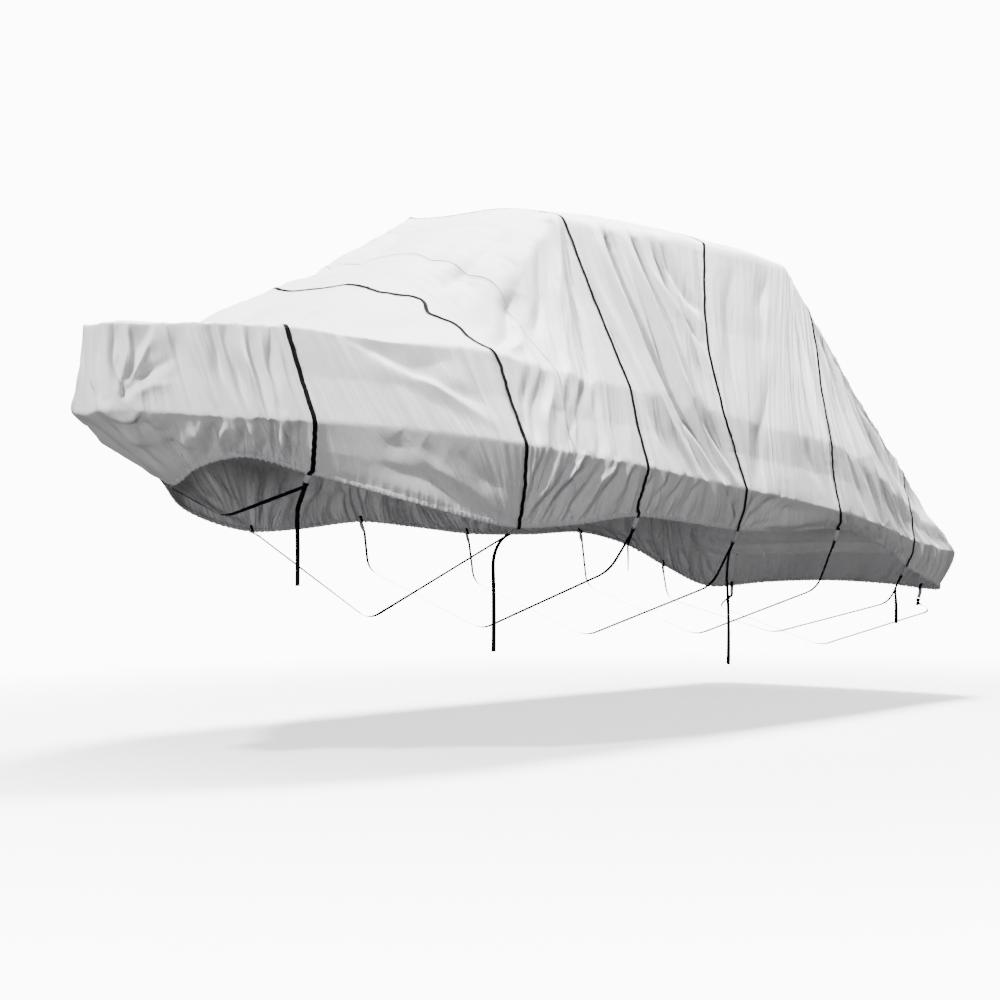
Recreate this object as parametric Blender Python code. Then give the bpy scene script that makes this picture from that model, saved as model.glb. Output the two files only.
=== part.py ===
"""Fitted cover for a boat with a hard top: two sewn cloth panels, webbing straps and their ties.

Metres, +Z up, bow towards -X, port side towards -Y. The origin is on the underside of the cloth
over the middle of the hard top, which is what carries the cover.
"""
import math

import bmesh
import bpy
import numpy as np
from mathutils import Vector

CLOTH_THICKNESS = 0.002
SEAM_GAP = 0.0003            # between neighbouring solids
STRAP_WIDTH = 0.025          # 25 mm polyester webbing
STRAP_THICKNESS = 0.0016
TAB_WIDTH = 0.030
TAB_THICKNESS = 0.003
BUCKLE_WIDTH = 0.036
BUCKLE_LENGTH = 0.034
BUCKLE_THICKNESS = 0.009
PORT = -1                    # sign of Y
STARBOARD = 1

# Lines that run the length of the cover, from its lower edge to the middle of its top.
HEM, RAIL, EDGE, SHOULDER, CROWN = range(5)
CROWN_FULLNESS = 2.4         # power of the crown's curve: higher is flatter on top

# One row for each section. Columns: name, crease of its top lines, then x, half breadth and z on the
# hem, the rub rail, the deck edge, the shoulder and the crown.
SECTIONS = (
    ("nose", 0.0,
     (-3.80, 0.00, -1.94), (-4.36, 0.00, -1.60), (-4.34, 0.00, -1.14),
     (-4.24, 0.00, -1.12), (-4.00, 0.00, -1.11)),
    ("pulpit corner", 0.3,
     (-3.80, 0.07, -1.92), (-4.35, 0.12, -1.58), (-4.32, 0.07, -1.13),
     (-4.22, 0.05, -1.11), (-3.95, 0.00, -1.10)),
    ("pulpit end", 0.0,
     (-3.80, 0.16, -1.87), (-4.10, 0.24, -1.58), (-4.10, 0.20, -1.12),
     (-4.02, 0.13, -1.10), (-3.83, 0.00, -1.09)),
    ("bow quarter", 0.0,
     (-3.68, 0.38, -1.80), (-3.83, 0.52, -1.61), (-3.88, 0.40, -1.11),
     (-3.80, 0.24, -1.09), (-3.68, 0.00, -1.08)),
    ("strap 1", 0.0,
     (-3.39, 0.62, -1.88), (-3.51, 0.76, -1.62), (-3.56, 0.58, -1.11),
     (-3.50, 0.34, -1.08), (-3.42, 0.00, -1.06)),
    ("fore deck", 0.0,
     (-2.93, 0.97, -2.03), (-2.98, 1.04, -1.65), (-3.00, 0.88, -1.16),
     (-2.98, 0.46, -0.97), (-2.95, 0.00, -0.90)),
    ("strap 2", 0.2,
     (-2.27, 1.12, -2.15), (-2.33, 1.22, -1.70), (-2.38, 1.02, -1.17),
     (-2.43, 0.55, -0.84), (-2.48, 0.00, -0.69)),
    ("seam", 0.0,
     (-1.84, 1.16, -2.13), (-1.92, 1.25, -1.73), (-1.87, 1.08, -1.25),
     (-1.97, 0.68, -0.70), (-2.12, 0.00, -0.48)),
    ("strap 3", 0.9,
     (-1.22, 1.18, -2.07), (-1.26, 1.27, -1.78), (-1.22, 1.10, -1.29),
     (-1.27, 0.62, -0.20), (-1.32, 0.00, -0.09)),
    ("hard top", 0.0,
     (-0.68, 1.18, -2.10), (-0.72, 1.27, -1.83), (-0.70, 1.12, -1.34),
     (-0.55, 0.68, -0.19), (-0.50, 0.00, -0.012)),
    ("strap 4", 0.0,
     (-0.12, 1.18, -2.14), (-0.15, 1.27, -1.88), (-0.18, 1.13, -1.39),
     (0.19, 0.71, -0.17), (0.30, 0.00, 0.002)),
    ("top aft", 0.8,
     (0.62, 1.17, -2.14), (0.52, 1.27, -1.94), (0.55, 1.14, -1.46),
     (1.38, 0.67, -0.18), (1.40, 0.00, -0.04)),
    ("strap 5", 0.3,
     (1.23, 1.16, -2.12), (1.10, 1.25, -2.00), (1.13, 1.14, -1.50),
     (1.52, 0.74, -0.42), (1.60, 0.00, -0.28)),
    ("aft slope", 0.0,
     (1.86, 1.15, -2.22), (1.72, 1.23, -2.08), (1.78, 1.13, -1.66),
     (2.02, 0.90, -1.06), (2.10, 0.00, -0.93)),
    ("strap 6", 0.0,
     (2.33, 1.13, -2.38), (2.34, 1.20, -2.19), (2.42, 1.12, -1.94),
     (2.58, 0.99, -1.66), (2.70, 0.00, -1.54)),
    ("stern quarter", 0.5,
     (2.99, 1.07, -2.57), (3.15, 1.12, -2.29), (3.10, 1.08, -2.20),
     (3.00, 0.98, -2.07), (2.98, 0.00, -1.84)),
    ("transom", 0.0,
     (3.05, 0.55, -2.53), (3.25, 0.62, -2.28), (3.22, 0.60, -2.20),
     (3.16, 0.52, -2.12), (3.11, 0.00, -1.98)),
    ("transom mid", 0.0,
     (3.05, 0.00, -2.51), (3.26, 0.00, -2.27), (3.24, 0.00, -2.19),
     (3.20, 0.00, -2.13), (3.15, 0.00, -2.06)),
)
# The hard top sits a little higher to starboard. Columns: section, rise and outward shift of its shoulder.
STARBOARD_SHOULDER = {
    "strap 1": (0.0, 0.08),
    "fore deck": (0.11, 0.16),
    "strap 2": (0.20, 0.18),
    "seam": (0.27, 0.08),
    "strap 3": (0.16, 0.06),
    "hard top": (0.07, 0.0),
    "strap 4": (0.04, 0.0),
}
ROW = {section[0]: number for number, section in enumerate(SECTIONS)}
LAST = len(SECTIONS) - 1

# How far each crease is rounded, along v: v is 0 at the hem, 1 at the rub rail ... 4 at the crown.
ROUNDING = (
    (0.0, 0.0), (0.1, 0.07), (1.0, 0.07), (2.0, 0.14), (2.6, 0.10), (3.0, 0.045), (3.4, 0.05), (4.0, 0.0),
)
ROUNDING_SAMPLES = (-1.0, -0.6, -0.2, 0.2, 0.6, 1.0)
SIDE_LINE_CREASE = 0.25      # share of a section's crease that its three lower lines take

# Mesh rows from hem to crown, and mesh columns between the marks along the cover.
V_ROWS = (0.0, 0.12, 0.40, 0.70, 0.93, 1.07, 1.35, 1.65, 1.88, 2.12, 2.40, 2.68, 2.94, 3.06, 3.30, 3.62, 4.0)
MARKS = (
    # section number, kind, columns up to the next mark
    (0.0, "nose", 14),
    (4.0, "strap", 10),
    (6.0, "strap", 4),
    (7.0, "seam", 6),
    (8.0, "strap", 9),
    (10.0, "strap", 10),
    (12.0, "strap", 10),
    (14.0, "strap", 6),
    (15.4, "strap", 8),
    (17.0, "transom", 0),
)
CROSS_STRAPS = (4.0, 6.0, 8.0, 10.0, 12.0, 14.0)
STERN_STRAP_TOP = 1.35       # the stern straps end just above the rub rail

# Main folds, port side. Columns: start, middle and end as (section, line), half width, height (m).
FOLDS = (
    ((1.68, 0.94), (1.88, 0.54), (2.64, 0.68), 0.09, 0.039),
    ((2.74, 0.92), (2.54, 0.48), (2.28, 0.10), 0.07, -0.036),
    ((2.06, 1.04), (2.44, 0.98), (2.74, 0.96), 0.06, -0.031),
    ((2.96, 2.00), (2.96, 1.68), (3.04, 1.16), 0.05, -0.018),
    ((3.36, 2.10), (3.34, 1.56), (3.38, 1.04), 0.05, -0.021),
    ((3.24, 1.04), (3.34, 0.74), (3.44, 0.34), 0.05, -0.029),
    ((1.76, 1.74), (1.62, 1.44), (1.78, 1.00), 0.07, 0.026),
    ((4.46, 2.02), (4.90, 1.80), (5.54, 1.86), 0.11, -0.036),
    ((4.92, 1.74), (5.30, 1.54), (5.74, 1.38), 0.08, -0.018),
    ((4.82, 0.38), (5.28, 0.16), (5.84, 0.06), 0.08, -0.021),
    ((5.00, 0.92), (5.26, 0.60), (5.68, 0.28), 0.07, -0.023),
    ((7.10, 2.78), (6.80, 2.58), (6.20, 2.16), 0.08, -0.034),
    ((8.10, 3.02), (7.62, 2.36), (6.90, 1.06), 0.07, -0.031),
    ((7.22, 0.98), (6.90, 0.56), (6.46, 0.18), 0.07, -0.026),
    ((7.70, 0.98), (7.46, 0.58), (7.26, 0.20), 0.06, -0.023),
    ((8.55, 2.98), (8.72, 2.30), (9.62, 1.10), 0.09, -0.065),
    ((8.85, 2.94), (9.10, 2.44), (9.86, 1.24), 0.08, -0.039),
    ((9.16, 2.90), (9.38, 2.70), (9.64, 2.46), 0.07, -0.023),
    ((10.14, 0.12), (10.70, 0.54), (11.38, 0.80), 0.08, -0.031),
    ((10.36, 2.84), (10.22, 2.50), (10.18, 2.10), 0.10, -0.016),
    ((10.78, 2.24), (10.54, 1.78), (10.24, 1.10), 0.09, -0.016),
    ((12.12, 2.94), (12.36, 2.34), (12.80, 1.02), 0.07, -0.026),
    ((12.22, 2.90), (12.74, 2.16), (13.28, 0.20), 0.08, -0.044),
    ((12.58, 2.92), (13.28, 2.44), (14.04, 0.72), 0.07, -0.029),
)
STARBOARD_FOLD_SHIFT = 0.12  # folds to starboard lie a little further aft, and are softer
STARBOARD_FOLD_SHARE = 0.8
FOLD_STEPS = 10
FOLD_FADE = (0.08, 0.92)     # half wave that a fold's height follows from its start to its end
END_FADE = 2.0               # folds fade out over this part of a section at the nose and transom
# Height of the cloth over the straight bands, along v (m): it bellies out below the rail.
SWELL = (
    (0.0, 0.0), (0.5, 0.016), (1.0, 0.0), (1.5, -0.010), (2.0, 0.004), (2.5, -0.014), (3.0, 0.0), (4.0, 0.0),
)

# Ties under the hull, one for each strap. Columns: mark, chine half breadth and z (None where the
# tie runs straight to the stem), keel x and z.
TIES = (
    (4.0, None, None, -3.44, -2.10),
    (6.0, None, None, -2.32, -2.69),
    (8.0, 1.02, -2.40, -1.30, -2.78),
    (10.0, 1.03, -2.50, -0.20, -2.86),
    (12.0, 1.03, -2.54, 1.15, -2.90),
    (14.0, 1.02, -2.66, 2.25, -2.92),
    (15.4, 1.00, -2.74, 2.99, -3.05),
)
# Loose end of a tie: it runs back along the tie and then hangs. Columns: tie number, run along the
# tie, length that hangs, sway aft, sway outboard.
LOOSE_ENDS = (
    (1, 0.18, 0.44, 0.03, 0.03),
    (2, 0.03, 0.66, 0.04, 0.05),
    (3, 0.06, 0.17, -0.03, 0.04),
    (4, 0.03, 0.74, 0.12, 0.06),
    (6, 0.06, 0.28, 0.05, 0.04),
)
LOOSE_END_STEP = 0.05
LOOSE_END_FALL = 3           # a loose end hangs plumb after one part in this many of its length
LOOSE_END_SWAY = (0.2, 0.3)  # steady share of its sway, and the share that swings over
TAB_LENGTH = 0.070
TAB_REACH = 0.6              # share of the tab's width, each way, that has to clear the hem
BUCKLE_CORNER = (0.75, 0.2)  # where its cut corners start: share of half its width, share of its length
LOOSE_END_LAYER = BUCKLE_THICKNESS / 4   # a tie enters the back of its buckle, a loose end leaves the front
BEND_RADIUS = 0.09           # of a tie round the chine and the keel
BEND_REACH = 0.45            # most of a straight run that one bend may take
BEND_PLACES = (0.0, 0.25, 0.5, 0.75, 1.0)
STRAIGHT_EXIT = 0.010        # webbing leaves a buckle or a tab straight
FORE_AFT = Vector((0.95, 0, -0.31))  # way that a tie's width lies under the hull, which rises to the bow
TWIST_RINGS = 10             # rings over which the tie turns to lie so, from its buckle to the chine
EXIT_RINGS = len(BEND_PLACES)  # rings before the tie starts to turn
RIBBON_STEP = 0.10

COLOURS = {
    "cloth": ((0.70, 0.70, 0.71, 1), 0.78),
    "webbing": ((0.012, 0.012, 0.013, 1), 0.65),
    "tab": ((0.62, 0.62, 0.63, 1), 0.80),
    "buckle": ((0.015, 0.015, 0.016, 1), 0.38),
}


def clear_scene():
    for item in list(bpy.data.objects):
        bpy.data.objects.remove(item, do_unlink=True)


def material(name):
    colour, roughness = COLOURS[name]
    made = bpy.data.materials.get(name) or bpy.data.materials.new(name)
    made.use_nodes = True
    shader = made.node_tree.nodes["Principled BSDF"]
    shader.inputs["Base Color"].default_value = colour
    shader.inputs["Roughness"].default_value = roughness
    shader.inputs["Metallic"].default_value = 0.0
    made.diffuse_color = colour
    return made


def add_object(name, vertices, faces, finish):
    mesh = bpy.data.meshes.new(name)
    mesh.from_pydata([tuple(map(float, vertex)) for vertex in vertices], [], faces)
    mesh.materials.append(material(finish))
    made = bpy.data.objects.new(name, mesh)
    bpy.context.scene.collection.objects.link(made)
    return made


def section_rows(side):
    """Sections as an array [section, line, xyz], with one mirrored section added at each end."""
    rows = np.array([section[2:] for section in SECTIONS], float)
    if side == STARBOARD:
        for name, (rise, shift) in STARBOARD_SHOULDER.items():
            rows[ROW[name], SHOULDER] += (0.0, shift, rise)
    first, last = rows[1:2].copy(), rows[-2:-1].copy()
    first[..., 1] *= -1
    last[..., 1] *= -1
    return np.concatenate([first, rows, last])


def line_points(u, side):
    """Points of the five lines at section numbers u: a smooth curve through the sections."""
    rows = section_rows(side)
    steps = np.diff(rows, axis=0)
    lengths = np.linalg.norm(steps, axis=2, keepdims=True)
    slopes = steps / lengths
    tangents = slopes[1:] * lengths[:-1] + slopes[:-1] * lengths[1:]
    tangents /= lengths[1:] + lengths[:-1]
    start = np.clip(np.floor(u).astype(int), 0, LAST - 1)
    t = (u - start)[:, None, None]
    share = np.array([SIDE_LINE_CREASE] * SHOULDER + [1.0, 1.0])[None, :, None]
    crease = np.array([section[1] for section in SECTIONS])
    crease_a = crease[start][:, None, None] * share
    crease_b = crease[start + 1][:, None, None] * share
    a, b = rows[start + 1], rows[start + 2]
    length = lengths[start + 1]
    tangent_a = tangents[start] * length * (1 - crease_a) + (b - a) * crease_a
    tangent_b = tangents[start + 1] * length * (1 - crease_b) + (b - a) * crease_b
    return (
        (2 * t**3 - 3 * t**2 + 1) * a + (t**3 - 2 * t**2 + t) * tangent_a
        + (3 * t**2 - 2 * t**3) * b + (t**3 - t**2) * tangent_b
    )


def across(lines, v):
    """Point at v on sections given by their five line points: straight bands, and a full crown."""
    band = np.clip(np.floor(v).astype(int), HEM, SHOULDER)
    t = (v - band)[:, None]
    index = np.arange(len(v))
    flat = lines[index, band] * (1 - t) + lines[index, band + 1] * t
    shoulder, crown = lines[:, SHOULDER], lines[:, CROWN]
    reach = np.sin(np.pi / 2 * t[:, 0])
    rise = 1 - (1 - t[:, 0]) ** CROWN_FULLNESS
    top = np.stack([
        shoulder[:, 0] + (crown[:, 0] - shoulder[:, 0]) * reach,
        shoulder[:, 1] * (1 - t[:, 0]),
        shoulder[:, 2] + (crown[:, 2] - shoulder[:, 2]) * rise,
    ], axis=1)
    return np.where((band == SHOULDER)[:, None], top, flat)


def smooth_point(u, v, side):
    """The cover's surface without folds, with each crease rounded."""
    lines = line_points(u, side)
    width = np.minimum(np.interp(v, *zip(*ROUNDING)), v)
    point = sum(across(lines, v + width * shift) for shift in ROUNDING_SAMPLES) / len(ROUNDING_SAMPLES)
    point[:, 1] *= side
    return point


def along(u, v, side, step=0.001):
    """Rate at which the surface moves with u."""
    low, high = np.clip(u - step, 0, LAST), np.clip(u + step, 0, LAST)
    return (smooth_point(high, v, side) - smooth_point(low, v, side)) / (high - low)[:, None]


def outward(u, v, side, step=0.001):
    low, high = np.clip(v - step, 0, CROWN), np.clip(v + step, 0, CROWN)
    upward = smooth_point(u, high, side) - smooth_point(u, low, side)
    normal = np.cross(along(u, v, side), upward) * -side
    return normal / np.maximum(np.linalg.norm(normal, axis=1, keepdims=True), 1e-12)


def fold_path(fold, side):
    """Points along a fold, which bends through its middle point."""
    start, middle, end = (np.array(place) for place in fold[:3])
    t = np.linspace(0, 1, FOLD_STEPS)[:, None]
    path = (1 - t) * (1 - 2 * t) * start + 4 * t * (1 - t) * middle + t * (2 * t - 1) * end
    shift = STARBOARD_FOLD_SHIFT if side == STARBOARD else 0.0
    return smooth_point(np.clip(path[:, 0] + shift, 0, LAST), np.clip(path[:, 1], 0, CROWN), side)


def fold_height(points, side):
    """Height of the folds at points: a soft ridge or trough that fades at both ends."""
    total = np.zeros(len(points))
    for fold in FOLDS:
        half_width, height = fold[3:]
        if side == STARBOARD:
            height *= STARBOARD_FOLD_SHARE
        path = fold_path(fold, side)
        nearest = np.full(len(points), 1e9)
        place = np.zeros(len(points))
        for number, (a, b) in enumerate(zip(path[:-1], path[1:])):
            t = np.clip((points - a) @ (b - a) / ((b - a) @ (b - a)), 0, 1)
            distance = np.linalg.norm(points - a - t[:, None] * (b - a), axis=1)
            closer = distance < nearest
            nearest = np.where(closer, distance, nearest)
            place = np.where(closer, (number + t) / (FOLD_STEPS - 1), place)
        fade = np.sin(np.pi * np.interp(place, (0, 1), FOLD_FADE))
        total += height * fade * np.exp(-((nearest / half_width) ** 2))
    return total


def cover_point(u, v, side):
    point = smooth_point(u, v, side)
    from_end = np.minimum(u, LAST - u)
    swell = np.interp(v, *zip(*SWELL)) * np.minimum(1, from_end)
    height = fold_height(point, side) * np.minimum(1, from_end * END_FADE)
    return point + outward(u, v, side) * (height + swell)[:, None]


def column_places():
    """Section number of every mesh column at every row and side, and the strips between columns.

    A strap or the seam has a column at each of its edges, so that it lies on a strip of the mesh.
    """
    rows = np.array(V_ROWS)
    columns, strips = [], []
    for number, (mark, kind, count) in enumerate(MARKS):
        half = {"strap": STRAP_WIDTH / 2, "seam": SEAM_GAP / 2}.get(kind, 0.0)
        edges = {}
        for side in (PORT, STARBOARD):
            rate = np.linalg.norm(along(np.full(len(rows), mark), rows, side), axis=1)
            edges[side] = half / rate
        if half:
            columns.append({side: mark - edges[side] for side in edges})
            strips.append((mark, kind))
        columns.append({side: mark + edges[side] for side in edges})
        if count:
            following = MARKS[number + 1]
            half_next = {"strap": STRAP_WIDTH / 2, "seam": SEAM_GAP / 2}.get(following[1], 0.0)
            for step in range(1, count):
                column = {}
                for side in (PORT, STARBOARD):
                    rate = np.linalg.norm(along(np.full(len(rows), following[0]), rows, side), axis=1)
                    low, high = mark + edges[side], following[0] - half_next / rate
                    column[side] = low + (high - low) * step / count
                columns.append(column)
                strips.append((mark, "cloth"))
            strips.append((mark, "cloth"))
    return columns, strips


def cover_grid():
    """Points [column, row] of the whole cover, from the port hem over the crown to starboard."""
    columns, strips = column_places()
    rows = np.array(V_ROWS)
    grid = []
    for column in columns:
        port = cover_point(column[PORT], rows, PORT)
        starboard = cover_point(column[STARBOARD], rows, STARBOARD)
        crown = (port[-1] + starboard[-1]) / 2
        grid.append(np.concatenate([port[:-1], [crown], starboard[-2::-1]]))
    grid = np.array(grid)
    for end in (0, -1):
        middle = (grid[end] + grid[end][::-1]) / 2
        middle[:, 1] = 0.0
        grid[end] = middle
    return grid, strips


def grid_faces(columns, rows, row_count):
    """Triangles over a block of the grid, all split along the same diagonal."""
    faces = []
    for i in columns:
        for j in rows:
            a, b = i * row_count + j, (i + 1) * row_count + j
            faces += [(a, b, b + 1), (a, b + 1, a + 1)]
    return faces


def vertex_normals(grid, faces):
    flat = grid.reshape(-1, 3)
    normals = np.zeros_like(flat)
    for a, b, c in faces:
        normal = np.cross(flat[b] - flat[a], flat[c] - flat[a])
        for corner in (a, b, c):
            normals[corner] += normal
    ends = normals.reshape(grid.shape)
    for end in (0, -1):
        ends[end] = ends[end] + ends[end][::-1]
    flat_normals = ends.reshape(-1, 3)
    return flat_normals / np.maximum(np.linalg.norm(flat_normals, axis=1, keepdims=True), 1e-12)


def sheet_object(name, points, faces, thickness, offset, finish):
    """Sheet with a solid thickness; points that meet at the nose and transom are joined."""
    used = sorted({corner for face in faces for corner in face})
    place = {old: new for new, old in enumerate(used)}
    made = add_object(name, points[used], [tuple(place[c] for c in face) for face in faces], finish)
    mesh = bmesh.new()
    mesh.from_mesh(made.data)
    bmesh.ops.remove_doubles(mesh, verts=mesh.verts, dist=0.00002)
    mesh.to_mesh(made.data)
    mesh.free()
    made.data.shade_smooth()
    solid = made.modifiers.new("thickness", "SOLIDIFY")
    solid.thickness = thickness
    solid.offset = offset
    return made


def make_panels(grid, strips):
    count = grid.shape[1]
    points = grid.reshape(-1, 3)
    seam = next(i for i, (mark, kind) in enumerate(strips) if kind == "seam")
    for name, columns in (("bow_panel", range(seam)), ("main_panel", range(seam + 1, len(strips)))):
        faces = grid_faces(columns, range(count - 1), count)
        sheet_object(name, points, faces, CLOTH_THICKNESS, -1, "cloth")


def make_cover_straps(grid, strips, normals):
    """Webbing sewn over the cover, lying on its own strip of the cloth."""
    count = grid.shape[1]
    points = grid.reshape(-1, 3) + normals * SEAM_GAP
    for i, (mark, kind) in enumerate(strips):
        if kind != "strap":
            continue
        if mark in CROSS_STRAPS:
            faces = grid_faces([i], range(count - 1), count)
            number = CROSS_STRAPS.index(mark) + 1
            sheet_object(f"strap_{number}", points, faces, STRAP_THICKNESS, 1, "webbing")
        else:
            top = sum(v <= STERN_STRAP_TOP for v in V_ROWS) - 1
            for side, rows in (("port", range(top)), ("starboard", range(count - 1 - top, count - 1))):
                faces = grid_faces([i], rows, count)
                sheet_object(f"stern_strap_{side}", points, faces, STRAP_THICKNESS, 1, "webbing")


def rounded_route(corners, radius, parts):
    """Points along straight runs, each in the given number of parts, with a curve round each corner."""
    bends = []
    for before, corner, after in zip(corners[:-2], corners[1:-1], corners[2:]):
        into, out = (corner - before).normalized(), (after - corner).normalized()
        reach = min(radius, (corner - before).length * BEND_REACH, (after - corner).length * BEND_REACH)
        start, end = corner - into * reach, corner + out * reach
        bends.append([start * (1 - t) ** 2 + corner * 2 * t * (1 - t) + end * t**2 for t in BEND_PLACES])
    route = [corners[0]]
    for count, bend in zip(parts, bends + [[corners[-1]]]):
        start = route[-1]
        route += [start.lerp(bend[0], part / count) for part in range(1, count + 1)]
        route += bend[1:]
    return route


def turning(counts, directions):
    """A direction for each ring: it turns evenly from each direction to the next over so many rings."""
    rings = [directions[0]]
    for count, before, after in zip(counts, directions[:-1], directions[1:]):
        rings += [before.lerp(after, ring / count) for ring in range(1, count + 1)]
    return rings


def ribbon(name, route, across_directions, width, thickness, finish):
    """Flat strip with a rectangular section along a route, closed at both ends.

    Each ring has the direction of its width. Both wide sides have the same diagonals, so that they
    stay apart where the strip twists.
    """
    vertices, faces = [], []
    for number, (point, across_direction) in enumerate(zip(route, across_directions)):
        ahead = route[min(number + 1, len(route) - 1)] - route[max(number - 1, 0)]
        tangent = ahead.normalized()
        flat = (across_direction - tangent * across_direction.dot(tangent)).normalized()
        up = tangent.cross(flat)
        for a, b in ((-1, -1), (1, -1), (1, 1), (-1, 1)):
            vertices.append(point + flat * (a * width / 2) + up * (b * thickness / 2))
    for ring in range(len(route) - 1):
        a, b, c, d = range(ring * 4, ring * 4 + 4)
        faces += [(a, b, b + 4), (a, b + 4, a + 4), (c, d, c + 4), (d, d + 4, c + 4)]
        faces += [(b, c, c + 4, b + 4), (d, a, a + 4, d + 4)]
    end = len(vertices) - 4
    faces += [(3, 2, 1, 0), (end, end + 1, end + 2, end + 3)]
    return add_object(name, vertices, faces, finish)


def hem_frame(mark, target, side):
    """Start of a tab, and its directions: down towards the target, along the hem, and outboard."""
    u, v = np.array([mark]), np.array([0.0])
    hem = Vector(cover_point(u, v, side)[0])
    rate = Vector(along(u, v, side)[0])
    flat = rate.normalized()
    down = target - hem
    down = (down - flat * down.dot(flat)).normalized()
    outboard = down.cross(flat)
    if outboard.dot(Vector(outward(u, v, side)[0])) < 0:
        outboard.negate()
    lowest = 0.0
    for reach in (-TAB_REACH, 0.0, TAB_REACH):
        near = np.array([mark + reach * TAB_WIDTH / rate.length])
        edge, normal = Vector(cover_point(near, v, side)[0]), Vector(outward(near, v, side)[0])
        for depth in (-CLOTH_THICKNESS, SEAM_GAP + STRAP_THICKNESS):
            lowest = max(lowest, (edge + normal * depth - hem).dot(down))
    return hem + down * (lowest + SEAM_GAP), down, flat, outboard


def make_ties():
    """Under each end of a strap: a cloth tab, a buckle to port, and the webbing round the hull."""
    for number, (mark, chine, chine_z, keel_x, keel_z) in enumerate(TIES, start=1):
        keel = Vector((keel_x, 0.0, keel_z))
        ends, flats = {}, {}
        for side, word in ((PORT, "port"), (STARBOARD, "starboard")):
            turn = keel if chine is None else Vector((keel_x, side * chine, chine_z))
            start, down, flat, outboard = hem_frame(mark, turn, side)
            end = start + down * TAB_LENGTH
            ribbon(f"tab_{number}_{word}", [start, end], [flat, flat], TAB_WIDTH, TAB_THICKNESS, "tab")
            end += down * SEAM_GAP
            if side == PORT:
                end = make_buckle(f"buckle_{number}", end, down, flat, outboard)
                make_loose_end(number, end + outboard * LOOSE_END_LAYER, down, flat)
                end = end - outboard * LOOSE_END_LAYER
            ends[side] = [end, end + down * STRAIGHT_EXIT] + ([] if chine is None else [turn])
            flats[side] = flat
        corners = ends[PORT] + [keel] + ends[STARBOARD][::-1]
        to_keel = round((ends[PORT][-1] - keel).length / RIBBON_STEP)
        parts = [1, to_keel] if chine is None else [1, TWIST_RINGS, to_keel]
        route = rounded_route(corners, BEND_RADIUS, parts + parts[::-1])
        last = len(route) - 1
        under = [FORE_AFT] if chine is None else [FORE_AFT, FORE_AFT]
        if chine is None:
            counts = [last // 4, last // 4, last // 4, last - last // 4 * 3]
        else:
            level = last - 2 * (EXIT_RINGS + TWIST_RINGS)
            counts = [EXIT_RINGS, TWIST_RINGS, level, TWIST_RINGS, EXIT_RINGS]
        turns = turning(counts, [flats[PORT]] * 2 + under + [flats[STARBOARD]] * 2)
        ribbon(f"under_strap_{number}", route, turns, STRAP_WIDTH, STRAP_THICKNESS, "webbing")


def make_buckle(name, start, down, flat, outboard):
    """Flat moulded buckle with cut corners; returns the middle of its lower end."""
    half = BUCKLE_WIDTH / 2
    corner, near = half * BUCKLE_CORNER[0], BUCKLE_LENGTH * BUCKLE_CORNER[1]
    far = BUCKLE_LENGTH - near
    right = ((corner, 0), (half, near), (half, far), (corner, BUCKLE_LENGTH))
    outline = right + tuple((-a, b) for a, b in right[::-1])
    vertices = []
    for layer in (-BUCKLE_THICKNESS / 2, BUCKLE_THICKNESS / 2):
        for a, b in outline:
            vertices.append(start + flat * a + down * b + outboard * layer)
    size = len(outline)
    faces = [tuple(range(size))[::-1], tuple(range(size, 2 * size))]
    faces += [(k, (k + 1) % size, (k + 1) % size + size, k + size) for k in range(size)]
    made = add_object(name, vertices, faces, "buckle")
    mesh = bmesh.new()
    mesh.from_mesh(made.data)
    bmesh.ops.recalc_face_normals(mesh, faces=mesh.faces)
    mesh.to_mesh(made.data)
    mesh.free()
    return start + down * (BUCKLE_LENGTH + SEAM_GAP)


def make_loose_end(tie, start, down, flat):
    """Free end of a tie: it leaves the front of the buckle, runs along the tie, falls over and hangs."""
    for number, run, length, aft, out in LOOSE_ENDS:
        if number != tie:
            continue
        route = [start, start + down * (STRAIGHT_EXIT + run)]
        steps = max(6, round(length / LOOSE_END_STEP))
        sway = Vector((aft, PORT * out, 0.0)) / length
        steady, swing = LOOSE_END_SWAY
        for step in range(1, steps + 1):
            t = step / steps
            lean = down.lerp(Vector((0, 0, -1)), min(1.0, t * LOOSE_END_FALL)).normalized()
            drift = sway * (steady + swing * math.cos(math.pi * t))
            route.append(route[-1] + (lean + drift).normalized() * (length / steps))
        ribbon(f"loose_end_{number}", route, [flat] * len(route), STRAP_WIDTH, STRAP_THICKNESS, "webbing")


def main():
    clear_scene()
    grid, strips = cover_grid()
    faces = grid_faces(range(len(strips)), range(grid.shape[1] - 1), grid.shape[1])
    normals = vertex_normals(grid, faces)
    make_panels(grid, strips)
    make_cover_straps(grid, strips, normals)
    make_ties()


main()
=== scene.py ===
import math

import bmesh
import bpy
import numpy as np
from mathutils import Matrix, Vector


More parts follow.
